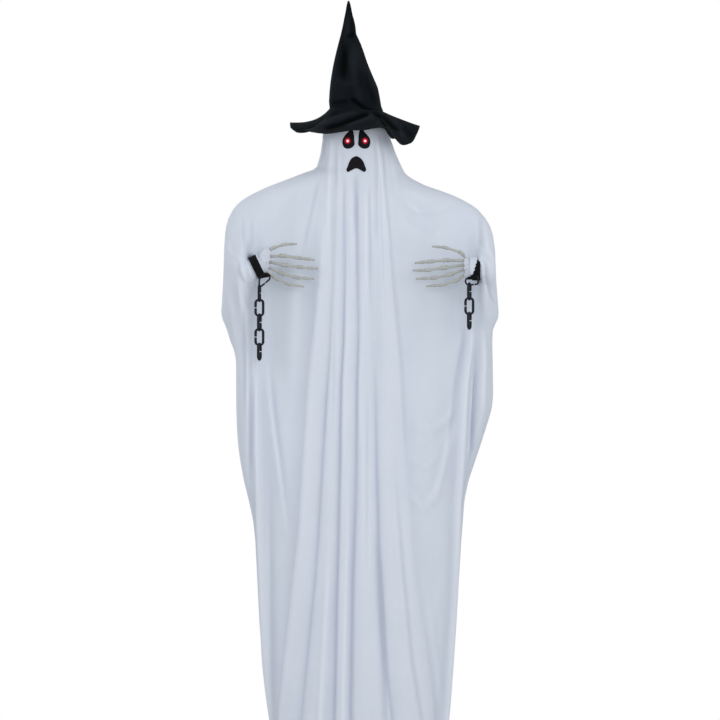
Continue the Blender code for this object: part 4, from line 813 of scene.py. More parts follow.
def sleeveSwell(away, beside):
    # Depth of the gathered cloth in front of the wrist's middle, away from the sleeve's edge
    s = sleeveReach
    turns = beside / s["gather"] * math.pi
    pleats = np.sin(2 * turns + 0.9) + 0.5 * np.sin(3.7 * turns)
    size = s["tube"] + s["flare"] * eased(away / s["flareOver"])
    pleats = s["pleat"] * pleats * eased(away / s["pleatOver"])
    size = size + pleats * eased((s["pleatEnd"] - away) / s["pleatFade"])
    share = np.abs(beside) / size
    # a circle that goes on in a straight slope at its sides
    edge, level, slope = s["side"]
    bell = np.where(share < edge, np.sqrt(np.maximum(1 - share**2, level**2)),
                    level - slope * (share - edge))
    return size * bell - np.maximum(away - s["bendFrom"], 0) ** 2 / s["bend"], share


def roundWrist(x, y, z, front, wrist):
    # Cloth swells out round the sleeve behind the strap and keeps behind the hand in front of it
    s = sleeveReach
    cx, cy, cz = wrist["centre"]
    ax, az = wrist["axis"]
    axial = (x - cx) * ax + (z - cz) * az
    beside = (z - cz) * ax - (x - cx) * az
    above = np.clip(beside * math.copysign(1, ax) - s["slantFrom"], 0, s["slantOver"])
    edge = s["coverFrom"] + wrist["slant"] * above
    away = np.maximum(edge - axial, 0)
    swell, share = sleeveSwell(away, beside)
    ahead = cy - swell
    soft = s["softest"] + s["softGrow"] * np.maximum(np.abs(beside) - s["softFrom"], 0)
    near = eased((s["swellEnd"] - away) / s["swellFade"]) * eased(away / soft)
    near = near * (share < s["widest"]) * front
    y = y + (softLess(y, ahead, s["blend"]) - y) * near * (ahead < y + s["blend"])
    room = np.sqrt(np.maximum(s["clear"] ** 2 - beside**2, 0))
    behind = cy + room + s["clearOver"]
    keep = (room > 0) & (axial >= edge) & (axial < s["hand"])
    far = eased((s["farEnd"] - axial) / s["farFade"])
    return np.where(keep, np.maximum(y, behind * far + (cy + s["behindHand"]) * (1 - far)), y)


def paintedCreaseShade(px, rise):
    # Painted shade from the rise of the folds: 0.5 on even cloth, up to 1 in the valleys and down
    # to 0, a painted highlight, on the ridges
    step = robeSettings["shadeGrid"][2]
    places = np.arange(*robeSettings["shadeGrid"])
    made = np.zeros(px.shape)
    for blur, full in robeSettings["shadeBlurs"]:
        reach = np.arange(-int(6 * blur), int(6 * blur) + 1) * step
        kernel = np.exp(-((reach / blur) ** 2) / 2)
        kernel = kernel / kernel.sum()
        for row in range(len(px)):
            order = np.argsort(px[row])
            line = np.interp(places, px[row][order], rise[row][order])
            padded = np.pad(line, len(reach) // 2, mode="edge")
            gap = np.convolve(padded, kernel, mode="valid") - line
            made[row] += np.interp(px[row], places, gap) / full
    return np.clip(0.5 + 0.5 * made, 0, 1)


def clothDrift(x, z):
    # Slow unevenness that keeps plain stretches from looking moulded
    source = np.random.default_rng(robeSettings["driftSeed"])
    drift = 0
    for wave in range(robeSettings["driftWaves"]):
        a, b, c, _ = source.uniform(0, 6.28, 4)
        across = np.sin(x * (22 + 9 * wave) + a + 1.5 * np.sin(z * 3 + b))
        drift = drift + robeSettings["drift"] * mm * across * np.sin(z * (4 + wave) + c)
    return drift


def sewPanel(name, rows, x, y, z, share, cutWidth, crown, shade, holes=()):
    # A panel closed at the crown; crown is that point's depth and its place across the flat cloth
    tip = (robeSettings["head"][0], crown[0], robeSettings["top"])
    points = np.array([tip] + list(zip(x.ravel(), y.ravel(), z.ravel())))
    height, width = x.shape
    faces = [(0, 1 + column, 2 + column) for column in range(width - 1)]
    faces += [tuple(1 + i for i in face) for face in gridFaces(height, width)]
    if holes:
        middles = [points[list(face)].mean(axis=0) for face in faces]
        faces = [face for face, middle in zip(faces, middles)
                 if all(math.hypot(middle[0] - lightX, middle[2] - lightZ)
                        > robeSettings["lightHole"] for lightX, lightZ in holes)]
    panel = pieceFrom(name, points, faces, "robeCloth")
    down = (robeSettings["top"] - rows[:, 0])[:, None] * robeSettings["cutEase"]
    down = np.broadcast_to(down, share.shape)
    places = np.stack([(share * cutWidth).ravel(), down.ravel()], axis=1)
    giveMap(panel, np.concatenate([[(crown[1], 0)], places]))
    givePaintedShade(panel, np.concatenate([[0.5], shade.ravel()]))
    return addWall(panel, robeSettings["wall"])


def makeRobeFront(rows):
    lines = lineAngles(rows)
    owner, share = [], []
    for strip, count in enumerate(robeSettings["columns"]):
        owner += [strip] * count
        share += list(np.arange(count) / count)
    owner, share = np.array(owner + [strip]), np.array(share + [1.0])
    angles = lines[:, owner] + (lines[:, owner + 1] - lines[:, owner]) * share[None, :]
    x, y, z, outX, outY = ringPlace(rows, angles)
    # the hood's crown stays smooth, and nothing rises at the side seams
    above, over = robeSettings["smoothCrown"]
    below = eased((robeSettings["head"][1] + above - z) / over)
    steep, power = robeSettings["smoothSeam"]
    edge = np.clip(np.abs(np.cos(angles)) * steep, 0, 1) ** power
    px, py = gridPlace(x, y, z)
    rise = pleatHeight(rows, px, owner, share) * below
    for fold in robeFolds:
        rise = rise + robeSettings["foldGain"] * foldHeight(px, py, fold)
    rise = (rise + clothDrift(x, z) * below) * edge
    # painted shade in the front's fold valleys and painted highlight on its ridges
    shade = paintedCreaseShade(px, rise)
    x = x + outX * rise
    y = y + outY * rise
    front = np.clip(np.cos(angles) * robeSettings["frontSteep"], 0, 1)
    for wrist in wristLift.values():
        y = y - front * liftAt(x, z, wrist)
    for wrist in wristLift.values():
        y = roundWrist(x, y, z, eased(front), wrist)
    return sewPanel("robeFront", rows, x, y, z, angles / math.pi + 0.5, robeSettings["cut"][0],
                    (0, robeSettings["crownAt"]), shade, lightSettings["places"].values())


def backFolds(turn, z):
    # Soft folds that start below the shoulders; turn runs from 0 to 1 across the back
    s = backFoldSettings
    uniform = np.random.default_rng(s["seed"]).uniform
    rise = s["swing"] * np.sin(3 * math.pi * turn + 1.5 * z)
    rise = rise * eased((s["shoulder"] - z) / s["shoulderOver"])
    for number in range(s["count"]):
        deep = number % s["deepEvery"] == 0
        place = (number + 0.5 + uniform(-s["stray"], s["stray"])) / s["count"]
        first, second = uniform(*s["width"], 2)
        start = uniform(*s["start"])
        length = s["deepLength"] if deep else uniform(*s["length"])
        lean, sway, phase = uniform(*s["lean"]), uniform(*s["sway"]), uniform(0, 6.28)
        tall = uniform(*s["deepRise" if deep else "rise"])
        down = start - z
        middle = 0.5 + (place - 0.5) * (1 + s["spread"] * down) + lean * down
        gone = turn - (middle + sway * np.sin(s["swayRate"] * z + phase))
        shape = np.exp(-((gone / np.where(gone < 0, first, second)) ** 2) / s["fullness"])
        ends = eased(down / s["fadeIn"]) * eased((length - down) / s["fadeOut"])
        rise = rise + tall * ends * shape
    return rise * np.clip(np.sin(math.pi * turn) * s["seamSteep"], 0, 1)


def evenSides(rows):
    # The sleeves' drop belongs to the sides; the middle of the back hangs straighter
    gaps = (rows[:, :1] - rows[:, 0][None, :]) / robeSettings["sideBlur"]
    spread = np.exp(-(gaps**2) / 2) * np.gradient(-rows[:, 0])[None, :]
    made = rows.copy()
    for edge in (1, 2):
        even = (spread @ rows[:, edge]) / spread.sum(axis=1)
        share = eased((robeSettings["sideFrom"] - rows[:, 0]) / robeSettings["sideOver"])
        made[:, edge] = rows[:, edge] + (even - rows[:, edge]) * share
    return made


def makeRobeBack(rows):
    angles = np.linspace(math.pi / 2, 3 * math.pi / 2, robeSettings["backColumns"])[None, :]
    angles = np.broadcast_to(angles, (len(rows), robeSettings["backColumns"]))
    turn = (angles - math.pi / 2) / math.pi
    x, y, z, outX, outY = ringPlace(rows, angles, back=True)
    seam = np.abs(np.sin(angles)) ** robeSettings["seamSharp"]
    x = x * seam + ringPlace(evenSides(rows), angles, back=True)[0] * (1 - seam)
    rise = backFolds(turn, z)
    first, across = robeSettings["backGrid"]
    # painted shade in the back's fold valleys and painted highlight on its ridges
    shade = paintedCreaseShade(first + across * turn, rise)
    behind = robeSettings["backGap"]
    x = x + outX * rise
    y = y + outY * rise + behind
    return sewPanel("robeBack", rows, x, y, z, turn, robeSettings["backCut"][0],
                    (behind, robeSettings["backCrownAt"]), shade)


robeFront = makeRobeFront(robeRows())
robeBack = makeRobeBack(robeRows())
for piece, node in ((robeFront, "robe_front"), (robeBack, "robe_back")):
    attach(piece, "figure")
    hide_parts(node)
print("robe hangs:", len(robeFront.data.polygons), "and", len(robeBack.data.polygons), "faces")

# The hat
hatSettings = {
    "cloth": 0.0012, "seat": 1.5669, "centre": -0.005, "half": 0.0631, "deep": 0.0701,
    "coneSides": 128, "coneRows": 84, "brimSides": 288, "brimRows": 34,
    "tip": 1.8298, "tall": 0.263, "topLine": 0.9, "coneRound": 0.95, "brimRound": 0.93,
    "clear": 0.0007, "coneSway": 0.0011, "brimSway": 0.0022, "rowEase": 0.92,
    "seatOver": 0.012, "cutRadius": 0.045, "tipOnCut": (0.14, 1.83),
    "foldOut": 0.75, "foldUp": 0.65, "frontTo": 0.1,
    # rise that gives a fold its full painted shade, or on a raised fold its full painted highlight
    "paintedConeShade": 0.0045, "paintedBrimShade": 0.0052,
    # how far the brim rolls up the cone, and how much the cone narrows for each metre of that
    "roll": ((-180, 9.5), (-135, 8), (-95, 6), (-60, 3), (-30, 1.2), (0, 1.2), (60, 3), (120, 6),
             (180, 9.5)),
    "taper": 2.2,
}
# cone outline on the grid: height, left edge, right edge
coneOutline = np.array([
    (0.7, 347.9, 349.0), (2.5, 347.2, 350.0), (5.7, 346.5, 350.8), (9.5, 345.9, 351.5),
    (14.4, 345.0, 352.4), (19, 344.0, 353.7), (24, 343.1, 355.0), (28.7, 342.1, 355.8),
    (32, 341.3, 356.0), (34.5, 340.7, 356.5), (38, 339.8, 358.2), (45, 338.0, 361.3),
    (52, 336.2, 363.8), (59.3, 334.5, 366.2), (66, 333.1, 368.6), (74.6, 331.6, 372.2),
    (81, 330.6, 375.0), (86, 330.0, 377.2), (90, 329.6, 378.4), (95.7, 329.2, 379.5),
    (101.4, 328.9, 380.5), (106.7, 329.4, 381.4), (112.1, 329.8, 383.0),
])
# brim's edge: turn in degrees from the right over the back, place on the grid, depth in
# millimetres, first steepness
brimEdge = (
    (-180, 290.0, 124.0, 2, 3.1), (-173, 291.2, 128.0, -26, 2.8), (-166, 298.4, 132.4, -48, 2.5),
    (-161, 300.4, 129.8, -60, 2.4), (-152, 305.5, 130.4, -80, 2.2), (-143, 312, 131.8, -98, 2.0),
    (-130, 325, 133.4, -122, 1.8), (-112, 341, 131.6, -140, 1.6), (-95, 353, 130.0, -148, 1.5),
    (-80, 364, 129.8, -147, 1.45), (-66, 374, 128.0, -140, 1.4), (-55, 382, 127.6, -130, 1.3),
    (-48, 388, 130.0, -120, 1.2), (-43, 391, 137.6, -112, 1.15), (-37, 396.4, 138.8, -104, 1.15),
    (-32, 399.4, 143.0, -96, 1.1), (-26, 403.4, 144.8, -86, 1.1), (-19, 408.5, 143.8, -72, 1.1),
    (-12, 413.0, 141.2, -52, 1.1), (-5, 417.3, 133.2, -26, 1.1), (1, 419.6, 127.4, -6, 1.2),
    (16, 416.6, 126.4, 38, 1.3), (40, 404, 126.0, 92, 1.4), (66, 382, 125.0, 132, 1.5),
    (90, 356, 123.6, 148, 1.5), (115, 330, 124.6, 138, 1.8), (140, 307, 126.0, 106, 2.2),
    (162, 292.6, 122.8, 54, 2.9), (180, 290.0, 124.0, 2, 3.1),
)
# creases in the hat, given as those of the robe are
brimFolds = (
    (((352, 101), (362, 106.5), (373, 111), (384, 118), (392, 127), (405, 133)),
     2.0, 2.4, -6.0, 0.1, 0.25),
    (((358, 101), (368, 104.5), (380, 110), (392, 118), (404, 126)), 2.4, 2.4, 4.0, 0.2, 0.3),
    (((370, 112.4), (353.6, 119.2), (338.3, 125.0), (322, 129.6)), 2.0, 2.6, -6.0, 0.12, 0.2),
    (((376, 115.5), (360, 121.5), (343, 127.5)), 2.2, 2.4, 3.4, 0.2, 0.3),
    (((362, 109.5), (345, 115.6), (326, 123.0), (310, 126.5)), 2.6, 2.6, 3.4, 0.2, 0.4),
    (((350, 107.0), (338, 111.0), (326, 117.5)), 2.2, 2.6, -3.4, 0.2, 0.5),
    (((374, 112), (378, 118), (384, 124), (386, 128)), 2.2, 2.6, -5.0, 0.15, 0.2),
    (((400, 124), (408, 131), (413, 140)), 2.2, 2.2, -3.4, 0.3, 0.3),
    (((392, 119), (400, 128), (403, 142)), 2.4, 2.4, 3.4, 0.25, 0.2),
    (((318, 118), (306, 123), (296, 127)), 2.0, 2.2, 2.2, 0.3, 0.2),
    (((300, 124), (296, 128), (298, 132)), 1.8, 1.8, -2.6, 0.3, 0.2),
)
coneFolds = (
    (((356.5, 33), (350, 36), (343, 37)), 1.8, 2.2, -2.6, 0.15, 0.5),
    (((355, 40), (352, 60), (356, 86), (362, 108)), 4.0, 4.0, 2.0, 0.3, 0.2),
    (((330, 104), (342, 102), (352, 100)), 2.2, 2.6, -1.8, 0.1, 0.4),
    (((334, 78), (345, 84), (360, 82)), 3.2, 3.2, 1.2, 0.3, 0.4),
    (((349, 97), (356, 102), (364, 108), (374, 113)), 2.0, 2.4, -3.4, 0.2, 0.05),
    (((342, 30), (345, 60), (341, 92)), 2.8, 3.2, -1.5, 0.3, 0.3),
    (((350, 12), (347, 24), (349, 36)), 1.6, 1.6, 1.2, 0.3, 0.3),
    (((366, 70), (369, 88), (376, 106)), 2.4, 2.8, -1.4, 0.3, 0.2),
)


def closedCurve(knots, values, places):
    # Smooth closed curve through values at increasing knots one turn apart
    span = knots[-1] - knots[0]
    inner = np.concatenate([knots[:-1] - span, knots[:-1], knots[:-1] + span])
    data = np.concatenate([values[:-1]] * 3)
    slope = np.gradient(data, inner)
    where = np.clip(np.searchsorted(inner, places, side="right") - 1, 0, len(inner) - 2)
    step = inner[where + 1] - inner[where]
    t = (places - inner[where]) / step
    a, b = data[where], data[where + 1]
    return (a * (1 + 2 * t) * (1 - t) ** 2 + b * t * t * (3 - 2 * t)
            + step * (slope[where] * t * (1 - t) ** 2 - slope[where + 1] * t * t * (1 - t)))


def makeHatCone():
    rows = hatSettings["coneRows"]
    columns = hatSettings["coneSides"]
    turn = np.linspace(0, 2 * math.pi, columns, endpoint=False)
    base = gridRow(hatSettings["seat"])
    share = np.linspace(0, 1, rows) ** hatSettings["rowEase"]
    heights = base - (base - hatSettings["topLine"]) * share
    left, right = (np.interp(heights, coneOutline[:, 0], coneOutline[:, k])[:, None]
                   for k in (1, 2))
    centre = (worldPlace(left, 0, 0)[0] + worldPlace(right, 0, 0)[0]) / 2
    half = (right - left) / 2 * viewSettings["unit"]
    z = worldPlace(0, heights, 0)[2][:, None]
    seatShare = eased((z - hatSettings["seat"]) / hatSettings["seatOver"])
    centre = hatSettings["centre"] + (centre - hatSettings["centre"]) * seatShare
    half = hatSettings["half"] + (half - hatSettings["half"]) * seatShare
    deep = half * hatSettings["deep"] / hatSettings["half"]
    x = centre + half * squarish(np.cos(turn), hatSettings["coneRound"])
    y = deep * squarish(np.sin(turn), hatSettings["coneRound"])
    px, py = gridPlace(x, y, z)
    ahead = np.sin(turn) < hatSettings["frontTo"]
    rise = sum(foldHeight(px, py, fold) for fold in coneFolds) * ahead
    share = (z - hatSettings["seat"]) / hatSettings["tall"]
    sway = np.sin(3 * turn + 9 * share + 0.6) + 0.6 * np.sin(5 * turn - 14 * share + 2.0)
    sway = sway * np.sin(math.pi * np.clip(share, 0, 1)) * np.abs(np.sin(turn)) ** 0.5
    rise = rise + hatSettings["coneSway"] * sway
    # painted shade in the cone's creases and painted highlight on its raised folds
    shade = np.clip(0.5 - rise / hatSettings["paintedConeShade"], 0, 1)
    x = x + np.cos(turn) * rise
    y = y + np.sin(turn) * rise
    z = np.broadcast_to(z, x.shape)
    points = list(zip(x.ravel(), y.ravel(), z.ravel()))
    faces = [face[::-1] for face in gridFaces(rows, columns, closed=True)]
    tip = len(points)
    points.append((float(x[-1].mean()), 0.0, hatSettings["tip"]))
    last = (rows - 1) * columns
    faces += [(last + i, last + (i + 1) % columns, tip) for i in range(columns)]
    cone = pieceFrom("hatCone", points, faces, "hatCloth")
    along = np.broadcast_to(turn[None, :] * hatSettings["cutRadius"], x.shape)
    places = np.stack([along.ravel(), z.ravel()], axis=1)
    giveMap(cone, np.concatenate([places, [hatSettings["tipOnCut"]]]))
    givePaintedShade(cone, np.concatenate([shade.ravel(), [0.5]]))
    return addWall(cone, hatSettings["cloth"])


def makeHatBrim():
    rows = hatSettings["brimRows"]
    columns = hatSettings["brimSides"]
    table = np.array(brimEdge, float)
    turn = np.linspace(-180, 180, columns, endpoint=False)
    px, py, depth, steep = (closedCurve(table[:, 0], table[:, k], turn) for k in (1, 2, 3, 4))
    edge = worldPlace(px, py, depth * mm)
    angle = np.radians(turn)
    up = np.interp(turn, *np.array(hatSettings["roll"]).T) * mm
    taper = 1 - hatSettings["taper"] * up
    half, deep = ((hatSettings[way] + hatSettings["clear"]) * taper for way in ("half", "deep"))
    innerX = hatSettings["centre"] + half * squarish(np.cos(angle), hatSettings["brimRound"])
    innerY = deep * squarish(np.sin(angle), hatSettings["brimRound"])
    share = np.linspace(0, 1, rows)[:, None]
    x = innerX + (edge[0] - innerX) * share
    y = innerY + (edge[1] - innerY) * share
    drop = 1 - (1 - share) ** steep
    z = hatSettings["seat"] + up + (edge[2] - hatSettings["seat"] - up) * drop
    z = z + hatSettings["brimSway"] * np.sin(5 * angle + 1.2) * np.sin(math.pi * share) * share
    seenX, seenY = gridPlace(x, y, z)
    front = eased(-np.sin(angle) * 3)
    rise = sum(foldHeight(seenX, seenY, fold) for fold in brimFolds) * front * eased(share * 5)
    # painted shade in the brim's creases and painted highlight on its raised folds
    shade = np.clip(0.5 - rise / hatSettings["paintedBrimShade"], 0, 1)
    y = y - rise * hatSettings["foldOut"]
    z = z + rise * hatSettings["foldUp"]
    points = list(zip(x.ravel(), y.ravel(), z.ravel()))
    brim = pieceFrom("hatBrim", points, gridFaces(rows, columns, closed=True), "hatCloth")
    giveMap(brim, np.stack([x.ravel(), y.ravel()], axis=1))
    givePaintedShade(brim, shade.ravel())
    return addWall(brim, hatSettings["cloth"])


hatCone = makeHatCone()
hatBrim = makeHatBrim()
for piece, node in ((hatCone, "hat_cone"), (hatBrim, "hat_brim")):
    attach(piece, "hat")
    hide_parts(node)
print("hat is sewn")

# The felt face
feltSettings = {
    "thick": 0.0015, "gap": 0.0005, "rings": 7, "steps": 96, "hole": 0.0033,
    "edgeThin": 0.65, "wall": 0.0009, "castFrom": -0.4, "nearFront": -0.1,
    "eyeSize": (0.030, 0.050), "mouthSize": (0.047, 0.036), "mouth": (-0.0054, 1.4424),
    # outlines in shares of those sizes, round the light and round the mouth's middle; the side
    # of an eye towards the nose is +
    "eye": ((0.205, 0.552), (0.07, 0.434), (-0.205, 0.255), (-0.385, 0.075), (-0.395, -0.156),
            (-0.275, -0.307), (0.0, -0.368), (0.346, -0.307), (0.53, -0.18), (0.52, 0.0),
            (0.496, 0.255), (0.433, 0.434), (0.32, 0.54)),
    "mouthShape": ((0.0, 0.512), (-0.19, 0.407), (-0.326, 0.19), (-0.42, -0.128),
                   (-0.485, -0.413), (-0.432, -0.512), (-0.271, -0.426), (0.0, -0.275),
                   (0.271, -0.426), (0.42, -0.512), (0.485, -0.42), (0.44, -0.128),
                   (0.337, 0.19), (0.19, 0.407)),
}


def roundedOutline(shares, size, flip=1):
    # Closed smooth outline through these shares of the size, with its corners kept fairly tight
    knots = np.array([(flip * a * size[0], b * size[1]) for a, b in shares + shares[:1]])
    runs = np.concatenate([[0], np.cumsum(np.hypot(*(knots[1:] - knots[:-1]).T))])
    places = np.linspace(0, runs[-1], feltSettings["steps"], endpoint=False)
    return np.stack([closedCurve(runs, knots[:, k], places) for k in (0, 1)], axis=1)


def treeOf(obj):
    mesh = obj.data
    places = [v.co for v in mesh.vertices]
    return BVHTree.FromPolygons(places, [p.vertices[:] for p in mesh.polygons])


def makeFelt(name, outline, middle, hole, cloth):
    # Rings from the hole to the outline, laid on the robe's front
    rings = []
    reach = np.hypot(*outline.T)
    for share in np.linspace(0, 1, feltSettings["rings"]):
        inner = hole / reach[:, None] if hole else 0
        rings.append(outline * (inner + (1 - inner) * share))
    points = []
    for ring in rings:
        thin = feltSettings["edgeThin"] if ring is rings[-1] else 1
        raised = feltSettings["gap"] + feltSettings["thick"] * thin
        for dx, dz in ring:
            x, z = middle[0] + dx, middle[1] + dz
            hit = cloth.ray_cast(Vector((x, feltSettings["castFrom"], z)), Vector((0, 1, 0)))[0]
            if hit is None or hit.y > 0:
                hit = cloth.find_nearest(Vector((x, feltSettings["nearFront"], z)))[0]
            points.append((x, hit.y - raised, z))
    steps = len(outline)
    faces = gridFaces(len(rings), steps, closed=True)
    if not hole:
        # the innermost ring closes to one point
        faces = [face for face in faces if min(face) >= steps]
        points[:steps] = [tuple(np.mean(points[:steps], axis=0))] * steps
        faces += [(0, steps + i, steps + (i + 1) % steps) for i in range(steps)]
        used = sorted({i for face in faces for i in face})
        place = {old: new for new, old in enumerate(used)}
        points = [points[i] for i in used]
        faces = [tuple(place[i] for i in face) for face in faces]
    patch = pieceFrom(name, points, faces, "blackFelt")
    mendNormals(patch, facesFront=True)
    return addWall(patch, feltSettings["wall"])


robeTree = treeOf(robeFront)
feltPieces = []
for side, light in lightSettings["places"].items():
    flip = 1 if side == "left" else -1
    outline = roundedOutline(feltSettings["eye"], feltSettings["eyeSize"], flip)
    patch = makeFelt(f"{side}EyePatch", outline, light, feltSettings["hole"], robeTree)
    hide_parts(f"{side}_eye_patch")
    feltPieces.append(patch)
outline = roundedOutline(feltSettings["mouthShape"], feltSettings["mouthSize"])
mouthPatch = makeFelt("mouthPatch", outline, feltSettings["mouth"], 0, robeTree)
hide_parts("mouth_patch")
feltPieces.append(mouthPatch)
for piece in feltPieces:
    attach(piece, "figure")
print("felt face is glued on")

# The hands
handSettings = {
    "depth": -0.150, "voxel": 0.00095, "inset": 0.0046, "swell": 0.0036,
    # radii at the ends of a finger's four bones, and how much each joint swells, in metres
    "shaft": (0.0040, 0.0038, 0.0037, 0.0034, 0.0024),
    "bump": (0.0012, 0.0022, 0.0017, 0.0011, 0.0006),
    "waist": 0.0005, "bow": 0.0008, "thin": 0.88, "boneRings": 19,
    # how far forwards each finger bends, how its four places lie to that, and where the last
    # joint divides the end of the finger
    "bend": {"thumb": -0.003, "index": -0.002, "middle": -0.001, "ring": -0.001, "little": 0.0},
    "curl": (0.0, -0.003, -0.002, 0.003), "lastJoint": 0.56,
    # palm: its place along the wrist and size, and the wrist bones' places across and size
    "palmAt": 0.0155, "palm": (0.011, 0.0075, 0.0145),
    "wristBones": (-0.010, -0.004, 0.003, 0.009), "wristBone": (0.0055, 0.0065, 0.0045),
    "wristBonesAt": 0.006, "wristBonesAhead": -0.002, "insetShare": 0.22, "swellShare": 0.16,
    "ballGrid": (24, 14), "lastJointOut": 0.001, "plugSides": 48,
    "plug": {"radius": 0.0208, "depth": 0.0216}, "plugBack": 0.0012, "plugBevel": 0.0012,
    # wrist end, knuckle, next joint and tip of each finger on the grid
    "left": {
        "thumb": ((263, 254), (272.5, 248.2), (285.0, 244.2), (297.2, 244.0)),
        "index": ((266, 257), (283.2, 255.6), (298.2, 257.8), (315.0, 260.0)),
        "middle": ((265, 261), (284.8, 265.2), (300.2, 267.2), (318.4, 268.6)),
        "ring": ((264, 265), (281.2, 273.2), (296.4, 277.6), (314.4, 278.8)),
        "little": ((263, 269), (275.8, 278.6), (288.6, 284.2), (304.0, 286.6)),
    },
    "right": {
        "thumb": ((468, 262), (461.5, 252.6), (444.6, 247.4), (431.8, 246.4)),
        "index": ((467, 261), (446.0, 260.2), (430.2, 261.6), (414.6, 263.0)),
        "middle": ((467, 264.5), (444.0, 267.8), (427.6, 270.2), (412.4, 270.4)),
        "ring": ((467, 268), (450.4, 274.6), (434.0, 278.0), (415.8, 278.8)),
        "little": ((468, 272), (457.2, 280.6), (442.6, 285.0), (426.2, 286.2)),
    },
}
handBodies = {"left": "left_hand", "right": "right_hand"}


def roundWire(name, points, radius, look, sizes=None, fine=3):
    # A round tube through these points, as a mesh
    data = bpy.data.curves.new(name, "CURVE")
    data.dimensions = "3D"
    data.bevel_depth = radius
    data.bevel_resolution = fine
    data.use_fill_caps = True
    spline = data.splines.new("POLY")
    spline.points.add(len(points) - 1)
    for number, (point, place) in enumerate(zip(spline.points, points)):
        point.co = (*place, 1)
        point.radius = sizes[number] if sizes else 1
    obj = bpy.data.objects.new(name, data)
    scene.collection.objects.link(obj)
    selectOnly(obj)
    bpy.ops.object.convert(target="MESH")
    made = bpy.context.view_layer.objects.active
    made.data.materials.clear()
    made.data.materials.append(looks[look])
    mendNormals(made, merge=1e-6)
    made.data.shade_smooth()
    made.select_set(False)
    return made


def bonePoints(start, end, shaft, first, last):
    # A bone that swells a little way from both ends, bowed towards the viewer
    points, sizes = [], []
    length = (end - start).length
    inset = min(handSettings["inset"], handSettings["insetShare"] * length)
    swell = min(handSettings["swell"], handSettings["swellShare"] * length)
    for share in np.linspace(0, 1, handSettings["boneRings"]):
        run = share * length
        middle = math.sin(math.pi * share)
        points.append(start.lerp(end, share) + Vector((0, -handSettings["bow"] * middle, 0)))
        waist = shaft[0] + (shaft[1] - shaft[0]) * share - handSettings["waist"] * middle
        bumps = first * math.exp(-(((run - inset) / swell) ** 2))
        bumps += last * math.exp(-(((length - run - inset) / swell) ** 2))
        sizes.append(waist + bumps)
    return points, sizes


def boneBall(place, size):
    bpy.ops.object.select_all(action="DESELECT")
    sides, rings = handSettings["ballGrid"]
    bpy.ops.mesh.primitive_uv_sphere_add(
        segments=sides, ring_count=rings, radius=1, location=place)
    ball = bpy.context.active_object
    ball.scale = size
    bpy.ops.object.transform_apply(location=True, rotation=False, scale=True)
    ball.data.materials.append(looks["bonePlastic"])
    ball.select_set(False)
    return ball


def joined(name, objects):
    bpy.ops.object.select_all(action="DESELECT")
    for obj in objects:
        obj.select_set(True)
    bpy.context.view_layer.objects.active = objects[0]
    bpy.ops.object.join()
    made = bpy.context.view_layer.objects.active
    made.select_set(False)
    made.name = name
    made.data.name = name
    selectOnly(made)
    bpy.ops.object.transform_apply(location=True, rotation=True, scale=True)
    made.select_set(False)
    return made


def fingerBones(side, finger, places):
    # The four bones of a finger through its places on the grid
    s = handSettings
    joints = []
    for number, (px, py) in enumerate(places):
        bend = s["bend"][finger] if number in (1, 2) else 0
        depth = s["depth"] + (bend + s["curl"][number])
        joints.append(Vector(worldPlace(px, py, depth)))
    lastJoint = joints[2].lerp(joints[3], s["lastJoint"])
    joints.insert(3, lastJoint + Vector((0, -s["lastJointOut"], 0)))
    thin = s["thin"] if finger in ("thumb", "little") else 1.0
    bones = []
    for number, (start, end) in enumerate(zip(joints, joints[1:])):
        shaft = [size * thin for size in s["shaft"][number:number + 2]]
        bumps = [size * thin for size in s["bump"][number:number + 2]]
        points, sizes = bonePoints(start, end, shaft, *bumps)
        radius = max(sizes)
        sizes = [size / radius for size in sizes]
        bones.append(roundWire(f"{side}Bone", points, radius, "bonePlastic", sizes, 2))
    return bones


def makePlug(centre, axis):
    # Round plug that turns in the sleeve end
    s = handSettings
    bpy.ops.object.select_all(action="DESELECT")
    tilt = axis.to_track_quat("Z", "Y").to_euler()
    bpy.ops.mesh.primitive_cylinder_add(
        vertices=s["plugSides"], **s["plug"], location=centre - axis * s["plugBack"],
        rotation=tilt)
    plug = bpy.context.active_object
    bpy.ops.object.mode_set(mode="EDIT")
    bpy.ops.mesh.select_all(action="SELECT")
    bpy.ops.mesh.bevel(offset=s["plugBevel"], segments=2, affect="EDGES")
    bpy.ops.object.mode_set(mode="OBJECT")
    plug.data.materials.append(looks["bonePlastic"])
    return plug


def makeHand(side):
    s = handSettings
    centre = Vector(wristLift[side]["centre"])
    axisX, axisZ = wristLift[side]["axis"]
    axis = Vector((axisX, 0, axisZ))
    pieces = []
    for finger, places in s[side].items():
        pieces += fingerBones(side, finger, places)
    palm = centre + axis * s["palmAt"]
    pieces.append(boneBall(palm, s["palm"]))
    for across in s["wristBones"]:
        place = palm + axis * s["wristBonesAt"] + Vector((0, s["wristBonesAhead"], across))
        pieces.append(boneBall(place, s["wristBone"]))
    pieces.append(makePlug(centre, axis))
    hand = joined(f"{side}SkeletonHand", pieces)
    remesh = hand.modifiers.new("moulded", "REMESH")
    remesh.mode = "VOXEL"
    remesh.voxel_size = s["voxel"]
    remesh.adaptivity = 0
    soft = hand.modifiers.new("softened", "SMOOTH")
    soft.factor = 0.5
    soft.iterations = 3
    applyAll(hand)
    hand.data.shade_smooth()
    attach(hand, handBodies[side])
    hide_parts(f"{side}_hand")


for side in bothSides:
    makeHand(side)
print("hands are moulded")

